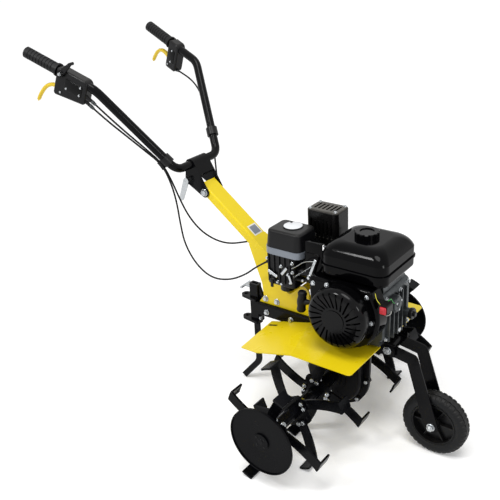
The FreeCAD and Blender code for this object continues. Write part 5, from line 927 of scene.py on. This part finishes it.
@dataclass
class TineHardware:
    """Bolts, nuts and clevis pins of the tine reels and the discs' hub caps."""

    first_y: float = 125.0
    pitch: float = 110.0
    lean_deg: float = 16.5
    bolt_z: float = 37.0
    disc_y: float = 398.6

    def turned(self, x: float, z: float, angle_deg: float, y: float) -> Vector:
        """Return the point at (x, z) from the axle once the reel has turned by an angle."""
        x, z = swung(x, z, angle_deg)
        return Vector((x, y, TINE_AXLE_Z + z))

    def reels(self) -> None:
        """Two bolts with nuts for each tine, and the hub's clevis pins with their spring clips."""
        for side in Side:
            bolts = Shaper("tine_bolts_%s" % side.name.lower(), ZINC, "tine_rotor")
            for i in range(3):
                flange_y = side.value * (self.first_y + i * self.pitch)
                for k in range(4):
                    angle = 180 + self.lean_deg + 45 * (i % 2) + 90 * k
                    turn = side.value if (k + i) % 2 == 0 else -side.value
                    for x in (-17, -2):
                        head = self.turned(x, self.bolt_z, angle, flange_y + 8.8 * turn)
                        nut = self.turned(x, self.bolt_z, angle, flange_y - 2.8 * turn)
                        bolts.bolt(head, (0, turn, 0), across=12, height=5.5)
                        bolts.bolt(nut, (0, -turn, 0), across=12, height=6, stem=4)
            bolts.close()
            pins = Shaper("clevis_pins_%s" % side.name.lower(), ZINC, "tine_rotor")
            for y, angle in ((207, 18), (317, 63)):
                middle = self.turned(0, 0, angle, side.value * y)
                axis = self.turned(0, 1, angle, side.value * y) - middle
                pins.lathe([(6.5, -27), (6.5, -23), (4, -23), (4, 24), (3, 25.5)], middle, axis, 18)
                pins.lathe([(9, 19.5), (10, 20.5), (9, 21.5)], middle, axis, 24)
            pins.close()

    def hub_caps(self) -> None:
        """Rivets round each disc's boss and its flat cap."""
        caps = Shaper("disc_rivets", TINE_STEEL, "tine_rotor")
        for side in Side:
            for k in range(4):
                place = self.turned(0, 17, 45 + 90 * k, side.value * self.disc_y)
                caps.lathe([(4.2, 0), (3.6, 0.8), (2, 1.2)], place, side.out, 16)
            caps.lathe([(9, 0), (8, 1.2)], (0, side.value * (self.disc_y + 0.1), TINE_AXLE_Z), side.out, 28)
        caps.close()

    def build(self) -> None:
        """Make the hardware of both reels."""
        self.reels()
        self.hub_caps()


@dataclass
class DriveHardware:
    """Bolts of the chain case, the frame channel, the fenders and the column, and its blank label."""

    case_circle: float = 100.0
    case_y: float = 9.0
    channel_y: float = 42.0
    label_slope_deg: float = 38.0

    def chain_case(self) -> None:
        """Through bolts in the case's ears."""
        bolts = Shaper("chain_case_bolts")
        for k in range(-3, 4):
            x, z = swung(0, -self.case_circle, 45 * k)
            bolts.pair(x, self.case_y, TINE_AXLE_Z + z, across=11, height=5)
        for x in (-103, 103):
            bolts.pair(x, self.case_y, 256, across=11, height=5)
        bolts.close()

    def channel(self) -> None:
        """Bolts in the channel's sides, with washers, and the fenders' fixing bolts."""
        bolts = Shaper("channel_bolts")
        for x, z in ((-138.5, 306), (-228, 306), (40, 304), (118, 304)):
            bolts.pair(x, self.channel_y, z, across=12, height=6, washer=18)
        for side in Side:
            for x in (20, 128):
                bolts.bolt((x, side.value * 56, 318), UP, across=10, height=5, washer=17)
        bolts.close()

    def base(self) -> None:
        """Bolts of the column base's side plates, and the hitch's."""
        bolts = Shaper("column_base_bolts")
        for x in (-238, -196):
            bolts.pair(x, 30, 346, across=13, height=6, washer=20)
        for z in (286, 262):
            for side in Side:
                bolts.bolt((-268, side.value * 20, z), (-1, 0, 0), across=10, height=5)
        bolts.close()

    def blank_label(self) -> None:
        """Blank plate on the column's upper face, with a pale rim."""
        for name, finish, middle, size in (
                ("column_blank_plate", WIRE_WHITE, (-291.5, 3, 553.6), (38, 38, 0.7)),
                ("column_blank_field", SILVER, (-291.2, 3, 553.9), (29, 29, 0.8))):
            label = Shaper(name, finish)
            label.block(middle, size, tilted(self.label_slope_deg), 0.3)
            label.close()

    def build(self) -> None:
        """Make the drive's and the frame's hardware."""
        self.chain_case()
        self.channel()
        self.base()
        self.blank_label()


@dataclass
class FrontWheel:
    """Tyre with its tread, the rim's lip and the nuts of the fork."""

    x: float = 318.0
    z: float = 95.0
    radius: float = 94.98
    half_width: float = 24.0
    seat: float = 66.0
    lugs: int = 36
    groove: float = 2.4
    lip_y: float = 19.8
    pivot: Point = (183.0, 42.0, 306.0)

    def outline(self) -> list[Point]:
        """Draw the tyre's section.

        Returns:
            Its points as (y, radius, share of the groove's depth).
        """
        r, w = self.radius, self.half_width
        half = [(w - 4, self.seat, 0), (w - 1.4, self.seat + 4, 0), (w - 0.2, self.seat + 10, 0),
                (w, r - 16, 0), (w - 0.5, r - 11, 0.25), (w - 2.2, r - 6.4, 0.7), (w - 5.2, r - 2.9, 1),
                (w - 9, r - 0.9, 1), (w - 12.6, r - 0.15, 1), (w - 13.4, r - 2.6, 0),
                (w - 15.6, r - 2.6, 0), (w - 16.4, r, 0.55), (w - 21, r, 0.55)]
        return [(-y, radius, share) for y, radius, share in half] + half[::-1]

    def tyre(self) -> None:
        """Solid tyre: two rows of shoulder blocks, staggered, with grooves beside a middle rib."""
        tyre = Shaper("tyre_with_tread", TYRE_RUBBER, "front_wheel")
        steps = self.lugs * 6
        rings = []
        for k in range(steps):
            ring = []
            for y, radius, share in self.outline():
                phase = (k + (3 if y > 0 else 0)) % 6
                x, z = swung(0, radius - (self.groove * share if phase < 2 else 0), 360 * k / steps)
                ring.append((self.x + x, y, self.z + z))
            rings.append(ring)
        tyre.skin(rings, hoop=True)
        tyre.close(28, replaced=("front_tyre",))

    def lip(self) -> None:
        """Raised edge of the rim beside the tyre's bead."""
        lip = Shaper("rim_lip", BLACK_ABS, "front_wheel")
        section = [(62.6, 0), (62.6, 0.77), (63.2, 1.1), (65, 1.1), (65.6, 0.77), (65.6, 0)]
        for side in Side:
            lip.lathe(section, (self.x, side.value * self.lip_y, self.z), side.out, 72, hoop=True)
        lip.close()

    def nuts(self) -> None:
        """Nuts and washers on the wheel bolt and the fork's pivot."""
        nuts = Shaper("fork_nuts", ZINC, "wheel_arm")
        nuts.pair(self.x, 33, self.z, across=18, height=8, washer=24)
        nuts.close()
        pivot = Shaper("fork_pivot_nuts")
        pivot.pair(*self.pivot, across=18, height=6, washer=24)
        pivot.close()

    def build(self) -> None:
        """Make the front wheel's parts."""
        self.tyre()
        self.lip()
        self.nuts()


@dataclass
class HandControl:
    """One control housing's lever and screws, placed by the grip's own directions."""

    side: Side
    lever: str
    middle: Point
    reach: Sequence[Spot]
    panel: Spot
    panel_middle: Spot
    screw_spots: Sequence[Spot]
    half_width: float = 18.0
    rearward: Point = (-0.9127, 0.1435, 0.3826)
    upward: Point = (0.3779, -0.0594, 0.9239)
    root_radius: float = 8.4
    tip_radius: float = 6.8
    squash: float = 0.78

    def directions(self) -> tuple[Vector, Vector, Vector]:
        """Work out the grip's own directions.

        Returns:
            Along the grip, up from it and out of the housing's side.
        """
        mirror = Vector((1, self.side.value, 1))
        along, rise = Vector(self.rearward) * mirror, Vector(self.upward) * mirror
        outward = along.cross(rise).normalized()
        return along.normalized(), rise.normalized(), outward if outward.y * self.side.value > 0 else -outward

    def spot(self, along: float, below: float, out: float) -> Vector:
        """Return the point along the grip, below the tube's middle line and out of the lever's plane."""
        back, rise, outward = self.directions()
        return Vector(self.middle) + back * along - rise * below + outward * out

    def blade(self) -> None:
        """Curved lever with an oval section and rounded ends."""
        steps = 36
        rounding = 2
        line = bend([self.spot(along, below, 0) for along, below in self.reach], steps)
        radii = []
        for k in range(steps + 1):
            flat = 1 - min(min(k, steps - k) / rounding, 1)
            radius = self.root_radius + (self.tip_radius - self.root_radius) * k / steps
            radii.append(radius * math.sqrt(max(1 - flat ** 2, 0.05)))
        piece = Shaper(self.lever + "_curved", YELLOW_NYLON, "handlebar_frame")
        piece.sweep(line, radii, self.directions()[2], self.squash)
        piece.close(50, [self.lever])

    def trim(self) -> None:
        """Raised panel with its screws on both sides of the housing."""
        turn = Matrix(self.directions()).transposed().to_4x4()
        outward = self.directions()[2]
        name = self.side.name.lower()
        panel = Shaper("housing_panel_" + name, BLACK_ABS, "handlebar_frame")
        screws = Shaper("housing_screws_" + name, ZINC, "handlebar_frame")
        for face in (1, -1):
            out = face * self.half_width
            panel.block(self.spot(*self.panel_middle, out), (*self.panel, 3), turn, 1.2)
            for along, below in self.screw_spots:
                screws.bolt(self.spot(along, below, out), outward * face, across=6.5, height=2.6,
                            head=Head.ROUND)
        panel.close()
        screws.close()

    def build(self) -> None:
        """Make the lever and the housing's trim."""
        self.blade()
        self.trim()


RIGHT_CONTROL = HandControl(
    Side.RIGHT, "control_lever_right", middle=(-731.6, -232.3, 1016.5),
    reach=((21, 57), (50, 43), (90, 40), (106, 76), (116, 126)),
    panel=(62, 34), panel_middle=(-12, 20), screw_spots=((-36, 8), (-36, 32), (12, 32), (30, 52)))
LEFT_CONTROL = HandControl(
    Side.LEFT, "control_lever_left", middle=(-759.9, 236.8, 1028.4),
    reach=((21, 57), (44, 45), (80, 32), (98, 64), (105, 108)),
    panel=(28, 44), panel_middle=(0, 32), screw_spots=((0, 12), (0, 52), (12, 66)))


@dataclass
class HandlebarHardware:
    """Nuts of the handlebar's clamp, the cable adjusters, both controls and the throttle's knob."""

    cam: Point = (-508.0, 35.0, 687.0)
    pivot: Point = (-449.0, 35.0, 655.0)

    def clamp(self) -> None:
        """Nuts on the clamp's pivot and on the cam bolt."""
        nuts = Shaper("clamp_nuts", ZINC, "handlebar_frame")
        nuts.bolt(self.cam, Side.LEFT.out, across=16, height=7, washer=22)
        nuts.close()
        pivot = Shaper("clamp_pivot_nuts")
        pivot.pair(*self.pivot, across=18, height=7, washer=24)
        pivot.close()

    def adjusters(self) -> None:
        """Knurled adjuster where each cable leaves its housing."""
        parts = Shaper("cable_adjusters", DIE_CAST, "handlebar_frame")
        for cable in CABLES.values():
            start, following = (Vector(point) for point in cable.route[:2])
            parts.lathe([(5.4, -9), (5.4, -2), (4.6, -1), (4.6, 3), (3.9, 6)], start, following - start, 12)
        parts.close(20)

    def throttle_dial(self) -> None:
        """Knob over the throttle lever's root, with its screw."""
        outward = RIGHT_CONTROL.directions()[2]
        seat = RIGHT_CONTROL.spot(36, -4, 24)
        knob = Shaper("throttle_knob", BLACK_ABS, "handlebar_frame")
        knob.lathe([(11, 0), (11, 2), (10, 3.5), (6, 3.5)], seat, outward, 28)
        knob.close(25)
        screw = Shaper("throttle_knob_screw", ZINC, "handlebar_frame")
        screw.bolt(seat + outward * 3.4, outward, across=8, height=3, washer=10)
        screw.close()

    def build(self) -> None:
        """Make the handlebar's small parts."""
        self.clamp()
        self.adjusters()
        RIGHT_CONTROL.build()
        LEFT_CONTROL.build()
        self.throttle_dial()


def dress_nodes() -> None:
    """Give every node of the frame its real finish."""
    finishes = {name: finish for finish, names in NODE_FINISH.items() for name in names}
    for name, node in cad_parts.items():
        node.data.materials.clear()
        node.data.materials.append(finishes.get(name, BLACK_MOULD).material())
    log.info("dressed %d nodes", len(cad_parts))


def main() -> None:
    """Build the studio and the machine's looks in order."""
    Studio().build()
    dress_nodes()
    for assembly in (ControlCables(), Starter(), IntakeDetails(), EngineFront(), EngineTop(), TineHardware(),
                     DriveHardware(), FrontWheel(), HandlebarHardware()):
        assembly.build()


if __name__ == "__main__":
    main()
